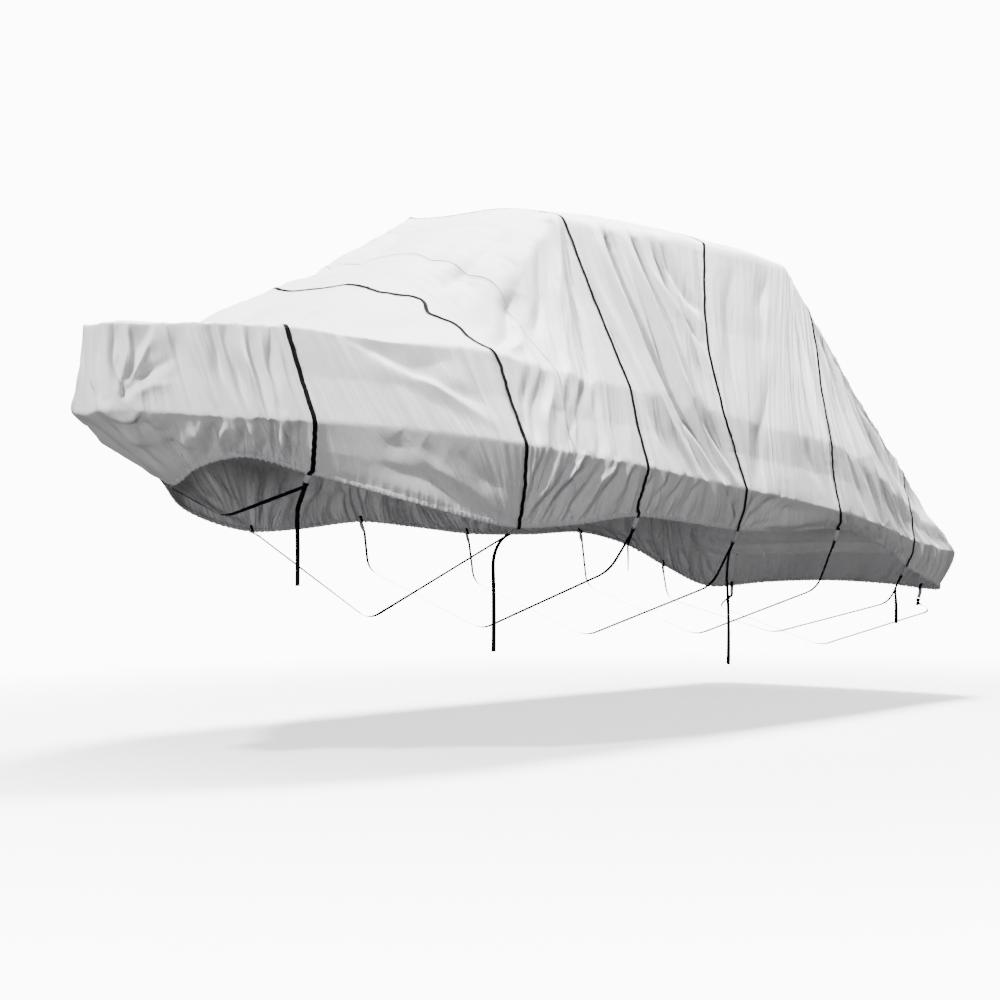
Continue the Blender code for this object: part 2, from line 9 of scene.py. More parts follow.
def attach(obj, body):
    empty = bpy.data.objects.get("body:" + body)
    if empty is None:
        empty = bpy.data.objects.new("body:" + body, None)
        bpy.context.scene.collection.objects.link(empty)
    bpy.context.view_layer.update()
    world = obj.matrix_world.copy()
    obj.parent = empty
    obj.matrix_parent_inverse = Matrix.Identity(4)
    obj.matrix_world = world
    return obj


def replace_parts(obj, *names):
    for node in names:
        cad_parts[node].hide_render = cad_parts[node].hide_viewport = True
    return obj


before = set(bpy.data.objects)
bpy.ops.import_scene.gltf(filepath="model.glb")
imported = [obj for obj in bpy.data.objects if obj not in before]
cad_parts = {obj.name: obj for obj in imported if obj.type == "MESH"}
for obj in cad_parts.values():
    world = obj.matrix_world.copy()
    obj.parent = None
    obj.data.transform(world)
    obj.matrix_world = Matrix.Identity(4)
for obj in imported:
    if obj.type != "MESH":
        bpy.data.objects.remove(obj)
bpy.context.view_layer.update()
port, starboard = -1, 1                     # sign of Y
sideWord = {port: "port", starboard: "starboard"}
print("frame loaded")


# Camera: low on the port bow, looking a little upward along the cover.
camera = {
    "place": (-9.53, -7.16, -2.32),
    "heading": 40.4,                        # degrees from +X towards +Y
    "rise": 1.94,                           # degrees above level
    "focalPixels": 1700.0,
    "framePixels": 1000.0,
    "sensor": 36.0,                         # mm
    "clipEnd": 200.0,
}


def addCamera():
    heading, rise = math.radians(camera["heading"]), math.radians(camera["rise"])
    ahead = Vector((math.cos(heading) * math.cos(rise), math.sin(heading) * math.cos(rise), math.sin(rise)))
    right = Vector((math.sin(heading), -math.cos(heading), 0.0))
    up = right.cross(ahead)
    lens = bpy.data.cameras.new("camera")
    lens.sensor_width = camera["sensor"]
    lens.lens = camera["sensor"] * camera["focalPixels"] / camera["framePixels"]
    lens.clip_end = camera["clipEnd"]
    made = bpy.data.objects.new("camera", lens)
    turn = Matrix((right, up, -ahead)).transposed().to_4x4()
    made.matrix_world = Matrix.Translation(Vector(camera["place"])) @ turn
    bpy.context.scene.collection.objects.link(made)
    bpy.context.scene.camera = made


addCamera()
print("camera")


# Shape of the cover. u is the number of a section, from 0 at the nose to 17 at the middle of the
# transom. v runs up a section: 0 hem, 1 rub rail, 2 deck edge, 3 shoulder, 4 crown.
hem, rail, edge, shoulder, crown = range(5)
# Columns: name, crease of its top lines, then x, half breadth and z on each of the five lines.
sections = (
    ("nose", 0.0,
     (-3.80, 0.00, -1.94), (-4.36, 0.00, -1.60), (-4.34, 0.00, -1.14),
     (-4.24, 0.00, -1.12), (-4.00, 0.00, -1.11)),
    ("pulpit corner", 0.3,
     (-3.80, 0.07, -1.92), (-4.35, 0.12, -1.58), (-4.32, 0.07, -1.13),
     (-4.22, 0.05, -1.11), (-3.95, 0.00, -1.10)),
    ("pulpit end", 0.0,
     (-3.80, 0.16, -1.87), (-4.10, 0.24, -1.58), (-4.10, 0.20, -1.12),
     (-4.02, 0.13, -1.10), (-3.83, 0.00, -1.09)),
    ("bow quarter", 0.0,
     (-3.68, 0.38, -1.80), (-3.83, 0.52, -1.61), (-3.88, 0.40, -1.11),
     (-3.80, 0.24, -1.09), (-3.68, 0.00, -1.08)),
    ("strap 1", 0.0,
     (-3.39, 0.62, -1.88), (-3.51, 0.76, -1.62), (-3.56, 0.58, -1.11),
     (-3.50, 0.34, -1.08), (-3.42, 0.00, -1.06)),
    ("fore deck", 0.0,
     (-2.93, 0.97, -2.03), (-2.98, 1.04, -1.65), (-3.00, 0.88, -1.16),
     (-2.98, 0.46, -0.97), (-2.95, 0.00, -0.90)),
    ("strap 2", 0.2,
     (-2.27, 1.12, -2.15), (-2.33, 1.22, -1.70), (-2.38, 1.02, -1.17),
     (-2.43, 0.55, -0.84), (-2.48, 0.00, -0.69)),
    ("seam", 0.0,
     (-1.84, 1.16, -2.13), (-1.92, 1.25, -1.73), (-1.87, 1.08, -1.25),
     (-1.97, 0.68, -0.70), (-2.12, 0.00, -0.48)),
    ("strap 3", 0.9,
     (-1.22, 1.18, -2.07), (-1.26, 1.27, -1.78), (-1.22, 1.10, -1.29),
     (-1.27, 0.62, -0.20), (-1.32, 0.00, -0.09)),
    ("hard top", 0.0,
     (-0.68, 1.18, -2.10), (-0.72, 1.27, -1.83), (-0.70, 1.12, -1.34),
     (-0.55, 0.68, -0.19), (-0.50, 0.00, -0.012)),
    ("strap 4", 0.0,
     (-0.12, 1.18, -2.14), (-0.15, 1.27, -1.88), (-0.18, 1.13, -1.39),
     (0.19, 0.71, -0.17), (0.30, 0.00, 0.002)),
    ("top aft", 0.8,
     (0.62, 1.17, -2.14), (0.52, 1.27, -1.94), (0.55, 1.14, -1.46),
     (1.38, 0.67, -0.18), (1.40, 0.00, -0.04)),
    ("strap 5", 0.3,
     (1.23, 1.16, -2.12), (1.10, 1.25, -2.00), (1.13, 1.14, -1.50),
     (1.52, 0.74, -0.42), (1.60, 0.00, -0.28)),
    ("aft slope", 0.0,
     (1.86, 1.15, -2.22), (1.72, 1.23, -2.08), (1.78, 1.13, -1.66),
     (2.02, 0.90, -1.06), (2.10, 0.00, -0.93)),
    ("strap 6", 0.0,
     (2.33, 1.13, -2.38), (2.34, 1.20, -2.19), (2.42, 1.12, -1.94),
     (2.58, 0.99, -1.66), (2.70, 0.00, -1.54)),
    ("stern quarter", 0.5,
     (2.99, 1.07, -2.57), (3.15, 1.12, -2.29), (3.10, 1.08, -2.20),
     (3.00, 0.98, -2.07), (2.98, 0.00, -1.84)),
    ("transom", 0.0,
     (3.05, 0.55, -2.53), (3.25, 0.62, -2.28), (3.22, 0.60, -2.20),
     (3.16, 0.52, -2.12), (3.11, 0.00, -1.98)),
    ("transom mid", 0.0,
     (3.05, 0.00, -2.51), (3.26, 0.00, -2.27), (3.24, 0.00, -2.19),
     (3.20, 0.00, -2.13), (3.15, 0.00, -2.06)),
)
# The hard top sits a little higher to starboard. Columns: section, rise and outward shift of its shoulder.
starboardShoulder = {
    "strap 1": (0.0, 0.08), "fore deck": (0.11, 0.16), "strap 2": (0.20, 0.18), "seam": (0.27, 0.08),
    "strap 3": (0.16, 0.06), "hard top": (0.07, 0.0), "strap 4": (0.04, 0.0),
}
lastSection = len(sections) - 1
form = {
    "crownFullness": 2.4,                   # power of the crown's curve: higher is flatter on top
    "sideCrease": 0.25,                     # share of a section's crease that the lower lines take
    "roundingV": (0.0, 0.1, 1.0, 2.0, 2.6, 3.0, 3.4, 4.0),
    "roundingWidth": (0.0, 0.05, 0.026, 0.038, 0.08, 0.040, 0.05, 0.0),
    "roundingSamples": (-1.0, -0.6, -0.2, 0.2, 0.6, 1.0),
    "swellV": (0.0, 0.5, 1.0, 1.5, 2.0, 2.5, 3.0, 4.0),
    "swell": (0.0, 0.016, 0.0, -0.010, 0.004, -0.014, 0.0, 0.0),   # m, the bands belly out or sag
    "hemOut": 0.02,                         # v just above the hem, where its way out is taken
    "hemUp": 0.05,                          # v to which its way up the cloth is taken
    "endRate": 2,                           # folds have their full height 1 / endRate sections from an end
}


def sectionRows(side):
    # One mirrored section is added past each end, so that the lines cross the middle squarely.
    rows = np.array([section[2:] for section in sections], float)
    if side == starboard:
        for number, section in enumerate(sections):
            rise, shift = starboardShoulder.get(section[0], (0.0, 0.0))
            rows[number, shoulder] += (0.0, shift, rise)
    first, last = rows[1:2].copy(), rows[-2:-1].copy()
    first[..., 1] *= -1
    last[..., 1] *= -1
    return np.concatenate([first, rows, last])


def linePoints(u, side):
    # The five lines at u: a smooth curve through the sections, sharper where a section has a crease.
    rows = sectionRows(side)
    steps = np.diff(rows, axis=0)
    lengths = np.linalg.norm(steps, axis=2, keepdims=True)
    slopes = steps / lengths
    tangents = slopes[1:] * lengths[:-1] + slopes[:-1] * lengths[1:]
    tangents /= lengths[1:] + lengths[:-1]
    start = np.clip(np.floor(u).astype(int), 0, lastSection - 1)
    t = (u - start)[:, None, None]
    share = np.array([form["sideCrease"]] * shoulder + [1.0, 1.0])[None, :, None]
    crease = np.array([section[1] for section in sections])
    creaseA = crease[start][:, None, None] * share
    creaseB = crease[start + 1][:, None, None] * share
    a, b = rows[start + 1], rows[start + 2]
    length = lengths[start + 1]
    tangentA = tangents[start] * length * (1 - creaseA) + (b - a) * creaseA
    tangentB = tangents[start + 1] * length * (1 - creaseB) + (b - a) * creaseB
    return (
        (2 * t**3 - 3 * t**2 + 1) * a + (t**3 - 2 * t**2 + t) * tangentA
        + (3 * t**2 - 2 * t**3) * b + (t**3 - t**2) * tangentB
    )


def acrossSection(lines, v):
    # Point at v of sections given by their line points: straight bands, and a full crown.
    band = np.clip(np.floor(v).astype(int), hem, shoulder)
    t = (v - band)[:, None]
    index = np.arange(len(v))
    flat = lines[index, band] * (1 - t) + lines[index, band + 1] * t
    low, high = lines[:, shoulder], lines[:, crown]
    reach = np.sin(np.pi / 2 * t[:, 0])
    rise = 1 - (1 - np.minimum(t[:, 0], 1.0)) ** form["crownFullness"]
    top = np.stack([
        low[:, 0] + (high[:, 0] - low[:, 0]) * reach,
        low[:, 1] * (1 - t[:, 0]),
        low[:, 2] + (high[:, 2] - low[:, 2]) * rise,
    ], axis=1)
    return np.where((band == shoulder)[:, None], top, flat)


def smoothPoint(u, v, side):
    # The cover without folds, with each crease rounded.
    lines = linePoints(u, side)
    width = np.minimum(np.interp(v, form["roundingV"], form["roundingWidth"]), v)
    shifts = form["roundingSamples"]
    point = sum(acrossSection(lines, v + width * shift) for shift in shifts) / len(shifts)
    point[:, 1] *= side
    return point


def alongCover(u, v, side, step=0.002):
    low, high = np.clip(u - step, 0, lastSection), np.clip(u + step, 0, lastSection)
    return (smoothPoint(high, v, side) - smoothPoint(low, v, side)) / (high - low)[:, None]


def outwardOf(u, v, side, step=0.004):
    low, high = np.clip(v - step, 0, crown), np.clip(v + step, 0, crown)
    upward = smoothPoint(u, high, side) - smoothPoint(u, low, side)
    normal = np.cross(alongCover(u, v, side), upward) * -side
    return normal / np.maximum(np.linalg.norm(normal, axis=1, keepdims=True), 1e-12)


def runLength(points):
    # Distance along the points from the first of them to each.
    return np.concatenate([[0.0], np.cumsum(np.linalg.norm(np.diff(points, axis=0), axis=1))])


def hemWays(u, side):
    # The hem's line at each u, its way up the cloth and its way out.
    v = np.zeros(len(u))
    line = smoothPoint(u, v, side)
    upward = smoothPoint(u, v + form["hemUp"], side) - line
    upward /= np.linalg.norm(upward, axis=1, keepdims=True)
    return line, upward, outwardOf(u, v + form["hemOut"], side)


# Folds, placed one by one to port. Columns: start, middle and end as (u, v), half width and height in mm
# (a ridge stands out, a trough is negative), and lean, from -1 to 1: the side on which it is steep.
folds = {
    "bow": (
        ((1.26, 2.00), (1.30, 1.60), (1.46, 1.28), 30, -22, 0.4),
        ((1.46, 1.98), (1.52, 1.62), (1.50, 1.26), 24, 22, 0.6),
        ((1.64, 1.96), (1.66, 1.66), (1.54, 1.30), 26, -20, 0.4),
        ((2.08, 1.98), (1.88, 1.66), (1.54, 1.26), 30, 24, 0.6),
        ((2.34, 1.62), (1.94, 1.42), (1.56, 1.22), 32, -20, -0.5),
        ((2.24, 1.34), (1.90, 1.26), (1.58, 1.16), 26, 15, 0.5),
        ((1.50, 1.40), (1.47, 1.26), (1.43, 1.12), 24, -32, 0.5),
        ((0.36, 2.04), (0.52, 1.36), (1.00, 1.06), 30, 22, 0.7),
        ((0.62, 2.00), (0.78, 1.40), (1.20, 1.02), 34, -26, 0.3),
        ((0.98, 0.98), (1.36, 0.88), (1.84, 1.04), 26, 17, 0.7),
        ((0.94, 0.80), (1.36, 0.70), (1.96, 0.88), 34, -15, 0.4),
        ((2.06, 1.96), (2.00, 1.72), (1.90, 1.50), 40, -14, -0.4),
        ((2.40, 1.96), (2.36, 1.70), (2.30, 1.34), 40, -12, 0.4),
        ((2.60, 1.95), (2.70, 1.52), (2.86, 1.08), 30, 14, 0.5),
        ((2.94, 1.97), (2.96, 1.68), (3.04, 1.14), 34, -22, 0.4),
        ((3.08, 1.95), (3.10, 1.56), (3.16, 1.04), 24, 16, 0.5),
        ((3.20, 1.97), (3.20, 1.56), (3.26, 1.08), 34, -26, -0.4),
        ((3.36, 1.96), (3.34, 1.56), (3.40, 1.04), 30, 22, 0.5),
        ((3.52, 1.96), (3.46, 1.46), (3.50, 1.06), 30, -24, 0.4),
        ((3.70, 1.95), (3.62, 1.46), (3.60, 1.04), 24, 16, 0.5),
        ((3.86, 1.96), (3.72, 1.52), (3.72, 1.06), 30, -22, -0.5),
        ((2.10, 0.88), (2.44, 0.82), (2.76, 0.84), 50, -4, 0.3),
        ((2.72, 0.96), (2.66, 0.52), (2.40, 0.06), 44, -28, 0.5),
        ((2.90, 0.96), (2.86, 0.56), (2.62, 0.10), 34, 18, 0.5),
        ((1.68, 0.94), (1.96, 0.62), (2.34, 0.34), 42, 24, 0.6),
        ((1.56, 0.86), (1.82, 0.50), (2.10, 0.16), 46, -32, 0.4),
        ((2.30, 0.72), (2.46, 0.56), (2.62, 0.62), 44, 8, -0.2),
        ((3.02, 0.97), (3.10, 0.60), (3.04, 0.16), 28, -28, 0.5),
        ((3.14, 0.95), (3.24, 0.62), (3.24, 0.16), 22, 14, 0.4),
        ((3.26, 0.98), (3.36, 0.64), (3.36, 0.14), 25, -28, 0.5),
        ((3.38, 0.94), (3.45, 0.62), (3.46, 0.16), 20, 13, -0.4),
        ((3.48, 0.98), (3.54, 0.64), (3.56, 0.14), 24, -27, -0.4),
        ((3.62, 0.94), (3.64, 0.64), (3.65, 0.16), 20, 13, 0.4),
        ((3.72, 0.98), (3.74, 0.64), (3.74, 0.14), 23, -27, 0.5),
        ((3.86, 0.98), (3.87, 0.64), (3.87, 0.16), 20, -18, 0.4),
        ((1.30, 0.80), (1.30, 0.50), (1.40, 0.14), 50, -26, 0.3),
        ((0.90, 0.84), (1.02, 0.50), (1.24, 0.16), 40, 22, -0.4),
        ((0.50, 0.90), (0.70, 0.50), (1.00, 0.16), 50, -26, -0.3),
    ),
    "foreDeck": (
        ((4.46, 2.02), (4.90, 1.80), (5.54, 1.86), 80, -24, 0.4),
        ((4.92, 1.74), (5.30, 1.54), (5.74, 1.38), 60, -14, -0.3),
        ((4.52, 1.90), (5.12, 1.62), (5.82, 1.10), 60, 18, 0.4),
        ((4.66, 0.90), (4.82, 0.62), (5.10, 0.36), 50, -14, 0.4),
        ((5.00, 0.80), (5.28, 0.52), (5.76, 0.20), 55, -22, 0.5),
        ((5.34, 0.76), (5.62, 0.54), (5.92, 0.28), 50, -15, 0.4),
        ((4.60, 0.44), (5.28, 0.18), (5.88, 0.06), 50, -20, 0.5),
        ((4.90, 0.70), (5.40, 0.36), (5.90, 0.14), 45, 18, 0.5),
        ((4.30, 3.10), (4.70, 3.40), (5.50, 3.50), 90, -16, 0.2),
        ((4.20, 2.60), (4.90, 2.50), (5.80, 2.70), 80, -14, -0.3),
    ),
    "foreSlope": (
        ((7.70, 3.02), (7.38, 2.74), (7.02, 2.36), 50, -26, 0.5),
        ((8.02, 2.98), (7.62, 2.36), (6.88, 1.06), 45, -34, 0.6),
        ((8.00, 3.10), (7.74, 2.80), (7.38, 2.36), 45, 26, 0.4),
        ((7.36, 2.36), (7.10, 1.90), (6.90, 1.50), 50, 16, 0.4),
        ((7.16, 2.86), (6.80, 2.58), (6.14, 2.12), 60, -34, 0.5),
        ((7.00, 2.60), (6.66, 2.34), (6.20, 2.00), 55, 20, -0.4),
        ((7.10, 3.28), (6.72, 3.20), (6.28, 3.06), 75, -24, 0.4),
        ((7.70, 3.40), (7.12, 3.22), (6.38, 2.88), 80, -26, -0.4),
        ((7.50, 3.66), (7.00, 3.56), (6.40, 3.50), 90, -18, 0.3),
        ((6.50, 1.94), (6.28, 1.52), (6.06, 1.12), 40, -16, 0.5),
        ((6.76, 1.98), (6.42, 1.40), (6.22, 1.02), 36, -20, 0.5),
        ((6.98, 2.02), (6.66, 1.42), (6.42, 1.02), 36, 18, 0.5),
        ((7.56, 2.02), (7.46, 1.50), (7.34, 1.02), 32, -18, 0.4),
        ((7.24, 2.10), (7.10, 1.50), (6.98, 1.06), 34, 14, -0.5),
        ((6.38, 0.98), (6.22, 0.58), (6.05, 0.12), 30, -20, 0.5),
        ((6.68, 0.98), (6.42, 0.54), (6.10, 0.10), 32, 20, 0.6),
        ((6.98, 0.98), (6.62, 0.48), (6.16, 0.08), 36, -26, 0.5),
        ((7.10, 1.00), (6.76, 0.56), (6.22, 0.10), 26, 24, 0.7),
        ((7.24, 0.98), (6.92, 0.56), (6.42, 0.16), 42, -28, 0.5),
        ((7.44, 0.98), (7.22, 0.58), (6.94, 0.22), 40, -24, 0.5),
        ((7.58, 0.98), (7.36, 0.60), (7.08, 0.22), 30, 18, 0.6),
        ((7.72, 0.98), (7.50, 0.58), (7.28, 0.18), 36, -22, 0.5),
        ((7.90, 0.98), (7.74, 0.60), (7.58, 0.18), 30, -18, 0.5),
    ),
    "hardTop": (
        ((8.62, 3.00), (8.76, 2.30), (9.66, 1.06), 60, -78, 0.6),
        ((8.84, 3.00), (9.02, 2.38), (9.78, 1.10), 40, 41, 0.5),
        ((8.94, 2.98), (9.14, 2.46), (9.88, 1.20), 45, -46, 0.6),
        ((9.00, 3.00), (9.22, 2.66), (9.66, 2.22), 45, 27, -0.4),
        ((9.18, 3.00), (9.38, 2.70), (9.68, 2.42), 45, -32, 0.5),
        ((9.36, 2.98), (9.54, 2.74), (9.84, 2.56), 40, -24, 0.4),
        ((9.50, 2.66), (9.70, 2.46), (9.90, 2.26), 40, -19, 0.4),
        ((8.20, 2.96), (8.30, 2.10), (8.60, 1.20), 60, -27, -0.4),
        ((8.46, 2.94), (8.50, 2.20), (9.00, 1.10), 60, 24, 0.4),
        ((8.16, 0.98), (8.10, 0.70), (8.02, 0.40), 24, -19, 0.5),
        ((8.46, 0.98), (8.38, 0.70), (8.22, 0.36), 24, -19, 0.5),
        ((8.76, 0.98), (8.66, 0.70), (8.48, 0.34), 26, -20, 0.5),
        ((9.06, 0.98), (9.00, 0.70), (8.88, 0.36), 24, -18, 0.5),
        ((9.64, 0.96), (9.78, 0.58), (9.96, 0.10), 30, -30, 0.5),
        ((10.26, 0.92), (10.14, 0.56), (10.03, 0.16), 28, -20, -0.5),
        ((10.62, 0.92), (10.38, 0.58), (10.10, 0.14), 34, -24, -0.5),
        ((10.86, 0.88), (10.54, 0.46), (10.14, 0.10), 30, 18, -0.5),
        ((10.16, 0.10), (10.70, 0.48), (11.44, 0.80), 60, -26, 0.5),
        ((10.30, 0.06), (10.90, 0.26), (11.60, 0.44), 55, 16, 0.4),
        ((10.36, 2.90), (10.22, 2.50), (10.18, 2.08), 80, -14, 0.3),
        ((10.76, 2.94), (10.72, 2.68), (10.66, 2.40), 70, -12, -0.3),
        ((10.78, 2.30), (10.54, 1.78), (10.20, 1.06), 80, -16, 0.4),
        ((11.06, 2.98), (11.62, 2.44), (11.88, 1.10), 60, -20, 0.5),
        ((11.26, 3.00), (11.80, 2.46), (11.98, 1.64), 50, 18, 0.4),
        ((11.40, 2.30), (11.56, 1.80), (11.70, 1.20), 60, -14, -0.3),
    ),
    "aft": (
        ((12.12, 2.98), (12.36, 2.34), (12.80, 1.00), 45, -26, 0.5),
        ((12.22, 2.94), (12.74, 2.16), (13.28, 0.10), 55, -42, 0.6),
        ((12.30, 2.96), (12.90, 2.22), (13.44, 0.60), 40, 24, 0.5),
        ((12.40, 2.96), (13.10, 2.30), (13.76, 0.62), 45, -28, 0.5),
        ((12.58, 2.94), (13.28, 2.44), (14.02, 0.68), 50, -34, 0.6),
        ((12.68, 2.94), (13.40, 2.52), (14.00, 1.30), 40, 20, 0.4),
        ((12.80, 2.92), (13.48, 2.66), (14.02, 1.90), 50, -24, 0.5),
        ((13.20, 2.94), (13.70, 2.76), (14.04, 2.40), 50, -16, 0.4),
        ((14.02, 2.92), (14.28, 1.96), (14.44, 0.80), 50, -26, 0.5),
        ((14.20, 2.60), (14.60, 1.70), (14.80, 0.60), 50, 16, 0.4),
        ((14.60, 2.80), (14.90, 2.00), (15.10, 0.80), 55, -16, -0.4),
        ((12.12, 0.92), (12.26, 0.44), (12.36, 0.02), 28, -16, 0.4),
        ((12.54, 0.94), (12.64, 0.44), (12.74, 0.02), 28, -18, 0.5),
        ((12.94, 0.82), (13.10, 0.34), (13.28, 0.02), 30, -18, -0.4),
        ((13.60, 0.90), (13.70, 0.44), (13.86, 0.04), 30, -18, 0.5),
        ((14.28, 1.00), (14.36, 0.54), (14.38, 0.04), 34, -22, 0.5),
        ((14.70, 0.96), (14.84, 0.50), (14.96, 0.04), 36, -18, -0.4),
    ),
}
foldRules = {
    "places": 14,                           # points along a fold's path
    "fade": (0.05, 0.97),                   # half wave that its height follows from start to end
    "wander": 0.35,                         # sideways wander of its path, in half widths
    "sways": ((1.0, 4.1), (0.6, 9.7)),      # size and rate of the two waves of that wander
    "pulse": (0.22, 9.0, 2.399),            # how much its height varies, how fast, and a phase for each seed
    "strength": 1.55,                       # of every height in the tables
    "starboardShift": 0.12,                 # folds to starboard lie a little further aft
    "starboardShare": 0.85,                 # and are softer
    "starboardSeed": 5000,
    "seed": 41,
    "crest": 1.4,                           # lower is sharper
    "steep": 0.55,                          # how much narrower its steep side is
    "leastSide": 0.2,
    "foot": (0.35, 1.35, 0.7),              # hollow at its steep foot: depth, place and width in half widths
    "slide": 0.5,                           # how far a leaning fold moves along the cloth
    "reach": 3.2,                           # half widths past which a fold is nothing
}


def foldPath(start, middle, end, wander, seed, side):
    phases = np.random.default_rng(seed).uniform(0, 2 * np.pi, 2)
    t = np.linspace(0, 1, foldRules["places"])
    bend = t[:, None]
    path = (
        (1 - bend) * (1 - 2 * bend) * np.array(start) + 4 * bend * (1 - bend) * np.array(middle)
        + bend * (2 * bend - 1) * np.array(end)
    )
    shift = foldRules["starboardShift"] if side == starboard else 0.0
    u, v = np.clip(path[:, 0] + shift, 0, lastSection), np.clip(path[:, 1], 0, crown)
    points = smoothPoint(u, v, side)
    sideways = np.cross(np.gradient(points, axis=0), outwardOf(u, v, side))
    sideways /= np.maximum(np.linalg.norm(sideways, axis=1, keepdims=True), 1e-9)
    waves = sum(size * np.sin(rate * t + phase) for (size, rate), phase in zip(foldRules["sways"], phases))
    return points + sideways * (np.sin(np.pi * t) * waves * wander)[:, None]


def foldList(side):
    # Every fold of one side as (path, half width, height, lean, seed).
    made = []
    share = foldRules["strength"] * (foldRules["starboardShare"] if side == starboard else 1.0)
    seed = foldRules["seed"] + (foldRules["starboardSeed"] if side == starboard else 0)
    for rows in folds.values():
        for start, middle, end, halfWidth, height, lean in rows:
            seed += 1
            halfWidth, height = halfWidth / 1000, height / 1000
            path = foldPath(start, middle, end, foldRules["wander"] * halfWidth, seed, side)
            made.append((path, halfWidth, height * share, lean * -side, seed))
    return made


def addFold(points, normals, fold, height, slide):
    # Adds one fold to the height of the points, and to their slide along the cloth where it leans.
    path, halfWidth, rise, lean, seed = fold
    reach = halfWidth * foldRules["reach"]
    low, high = path.min(axis=0) - reach, path.max(axis=0) + reach
    near = np.nonzero(np.all((points > low) & (points < high), axis=1))[0]
    if not len(near):
        return
    here = points[near]
    nearest = np.full(len(near), np.inf)
    place = np.zeros(len(near))
    offset = np.zeros((len(near), 3))
    heading = np.zeros((len(near), 3))
    for number, (a, b) in enumerate(zip(path[:-1], path[1:])):
        step = b - a
        t = np.clip((here - a) @ step / (step @ step), 0, 1)
        gap = here - a - t[:, None] * step
        distance = np.einsum("ij,ij->i", gap, gap)
        closer = distance < nearest
        nearest[closer] = distance[closer]
        place[closer] = ((number + t) / (len(path) - 1))[closer]
        offset[closer] = gap[closer]
        heading[closer] = step / np.linalg.norm(step)
    sideways = np.cross(heading, normals[near])
    signed = np.sqrt(nearest) / halfWidth * np.sign(np.einsum("ij,ij->i", offset, sideways))
    flank = np.maximum(1 - foldRules["steep"] * lean * np.sign(signed), foldRules["leastSide"])
    hump = np.exp(-(np.abs(signed) / flank) ** foldRules["crest"])
    footDepth, footPlace, footWidth = foldRules["foot"]
    foot = -footDepth * abs(lean) * np.exp(-((signed - footPlace * np.sign(lean)) / footWidth) ** 2)
    swing, rate, turn = foldRules["pulse"]
    fade = np.sin(np.pi * np.interp(place, (0, 1), foldRules["fade"]))
    rising = rise * fade * (1 + swing * np.sin(place * rate + seed * turn))
    height[near] += rising * (hump + foot)
    slide[near] += sideways * (rising * hump * lean * foldRules["slide"])[:, None]


# The elastic in the hem draws the cloth up in small gathers, and each strap draws it in.
gathers = {
    "u": (0.0, 1.5, 2.6, 3.1, 3.9, 4.1, 5.8, 6.3, 7.0, 8.0, 9.8, 10.2, 11.8, 12.2, 13.8, 14.2, 15.3, 17.0),
    # At each u, in mm: how deep they are and how far up the cloth they reach.
    "depth": (6, 8, 10, 16, 16, 6, 5, 5, 7, 11, 10, 7, 7, 10, 13, 11, 11, 8),
    "reach": (60, 60, 90, 180, 190, 60, 50, 45, 60, 80, 80, 60, 60, 80, 110, 90, 80, 60),
    "pitch": 0.031,                         # m from one gather to the next
    "fine": (1.0, 21, 0.75),                # at the edge: pitches, seed and share of the depth
    "coarse": (2.2, 31, 0.8),               # further up, where they run together
    "fineReach": 0.35,                      # share of the reach in which the fine ones die out
    "fineShare": 0.5,                       # how much of the coarse ones' place they take
    "tuck": 0.009,                          # how far the elastic draws the edge in
    "tuckReach": 0.040,
    "hold": (0.8, 0.035),                   # how still it holds the cloth near it, and how far up (m)
    "fadeOut": 0.03,                        # m each side of a strap where the gathers die out
}
crumple = {
    # Columns: pitch across and up (m), height (m), seed.
    "layers": ((0.220, 0.480, 0.0040, 3), (0.080, 0.180, 0.0010, 7), (0.034, 0.060, 0.0005, 11)),
}
# Lines of tension in the cloth, each by its u at v 0, 1, 2, 3 and 4. Creases run along them.
tensionLines = np.array((
    (-0.1, -0.1, -0.1, -0.1, -0.1), (1.0, 0.9, 0.9, 0.9, 0.9), (1.8, 1.6, 1.5, 1.5, 1.5),
    (2.3, 2.4, 2.2, 2.2, 2.2), (3.0, 2.9, 2.7, 2.7, 2.7), (3.60, 3.3, 3.2, 3.2, 3.2),
    (3.86, 3.65, 3.7, 3.7, 3.7), (4.0, 4.0, 4.0, 4.0, 4.0), (5.30, 4.6, 4.4, 4.4, 4.4),
    (5.80, 5.3, 5.0, 5.0, 5.0), (5.93, 5.75, 5.6, 5.5, 5.5), (6.0, 6.0, 6.0, 6.0, 6.0),
    (6.06, 6.3, 6.6, 7.0, 7.0), (6.18, 6.8, 6.95, 7.5, 7.4), (6.5, 7.2, 7.3, 7.9, 7.8),
    (7.3, 7.65, 7.75, 8.0, 7.95), (8.0, 8.0, 8.0, 8.08, 8.0), (8.2, 8.3, 8.3, 8.25, 8.2),
    (8.6, 8.8, 8.6, 8.4, 8.4), (9.5, 9.4, 8.95, 8.65, 8.6), (9.86, 9.72, 9.3, 8.9, 8.9),
    (9.95, 9.9, 9.6, 9.3, 9.3), (10.0, 10.0, 10.0, 10.0, 10.0), (10.06, 10.25, 10.5, 10.6, 10.5),
    (10.5, 10.8, 10.9, 10.95, 10.9), (11.5, 11.6, 11.5, 11.3, 11.3), (12.0, 12.0, 12.0, 12.0, 12.0),
    (12.75, 12.6, 12.3, 12.15, 12.1), (13.3, 13.2, 12.7, 12.3, 12.2), (13.88, 13.75, 13.2, 12.6, 12.5),
    (14.0, 14.0, 13.7, 13.2, 13.0), (14.6, 14.5, 14.2, 14.0, 14.0), (15.4, 15.3, 15.0, 14.8, 14.8),
    (16.2, 16.2, 16.2, 16.1, 16.1), (17.1, 17.1, 17.1, 17.1, 17.1),
))
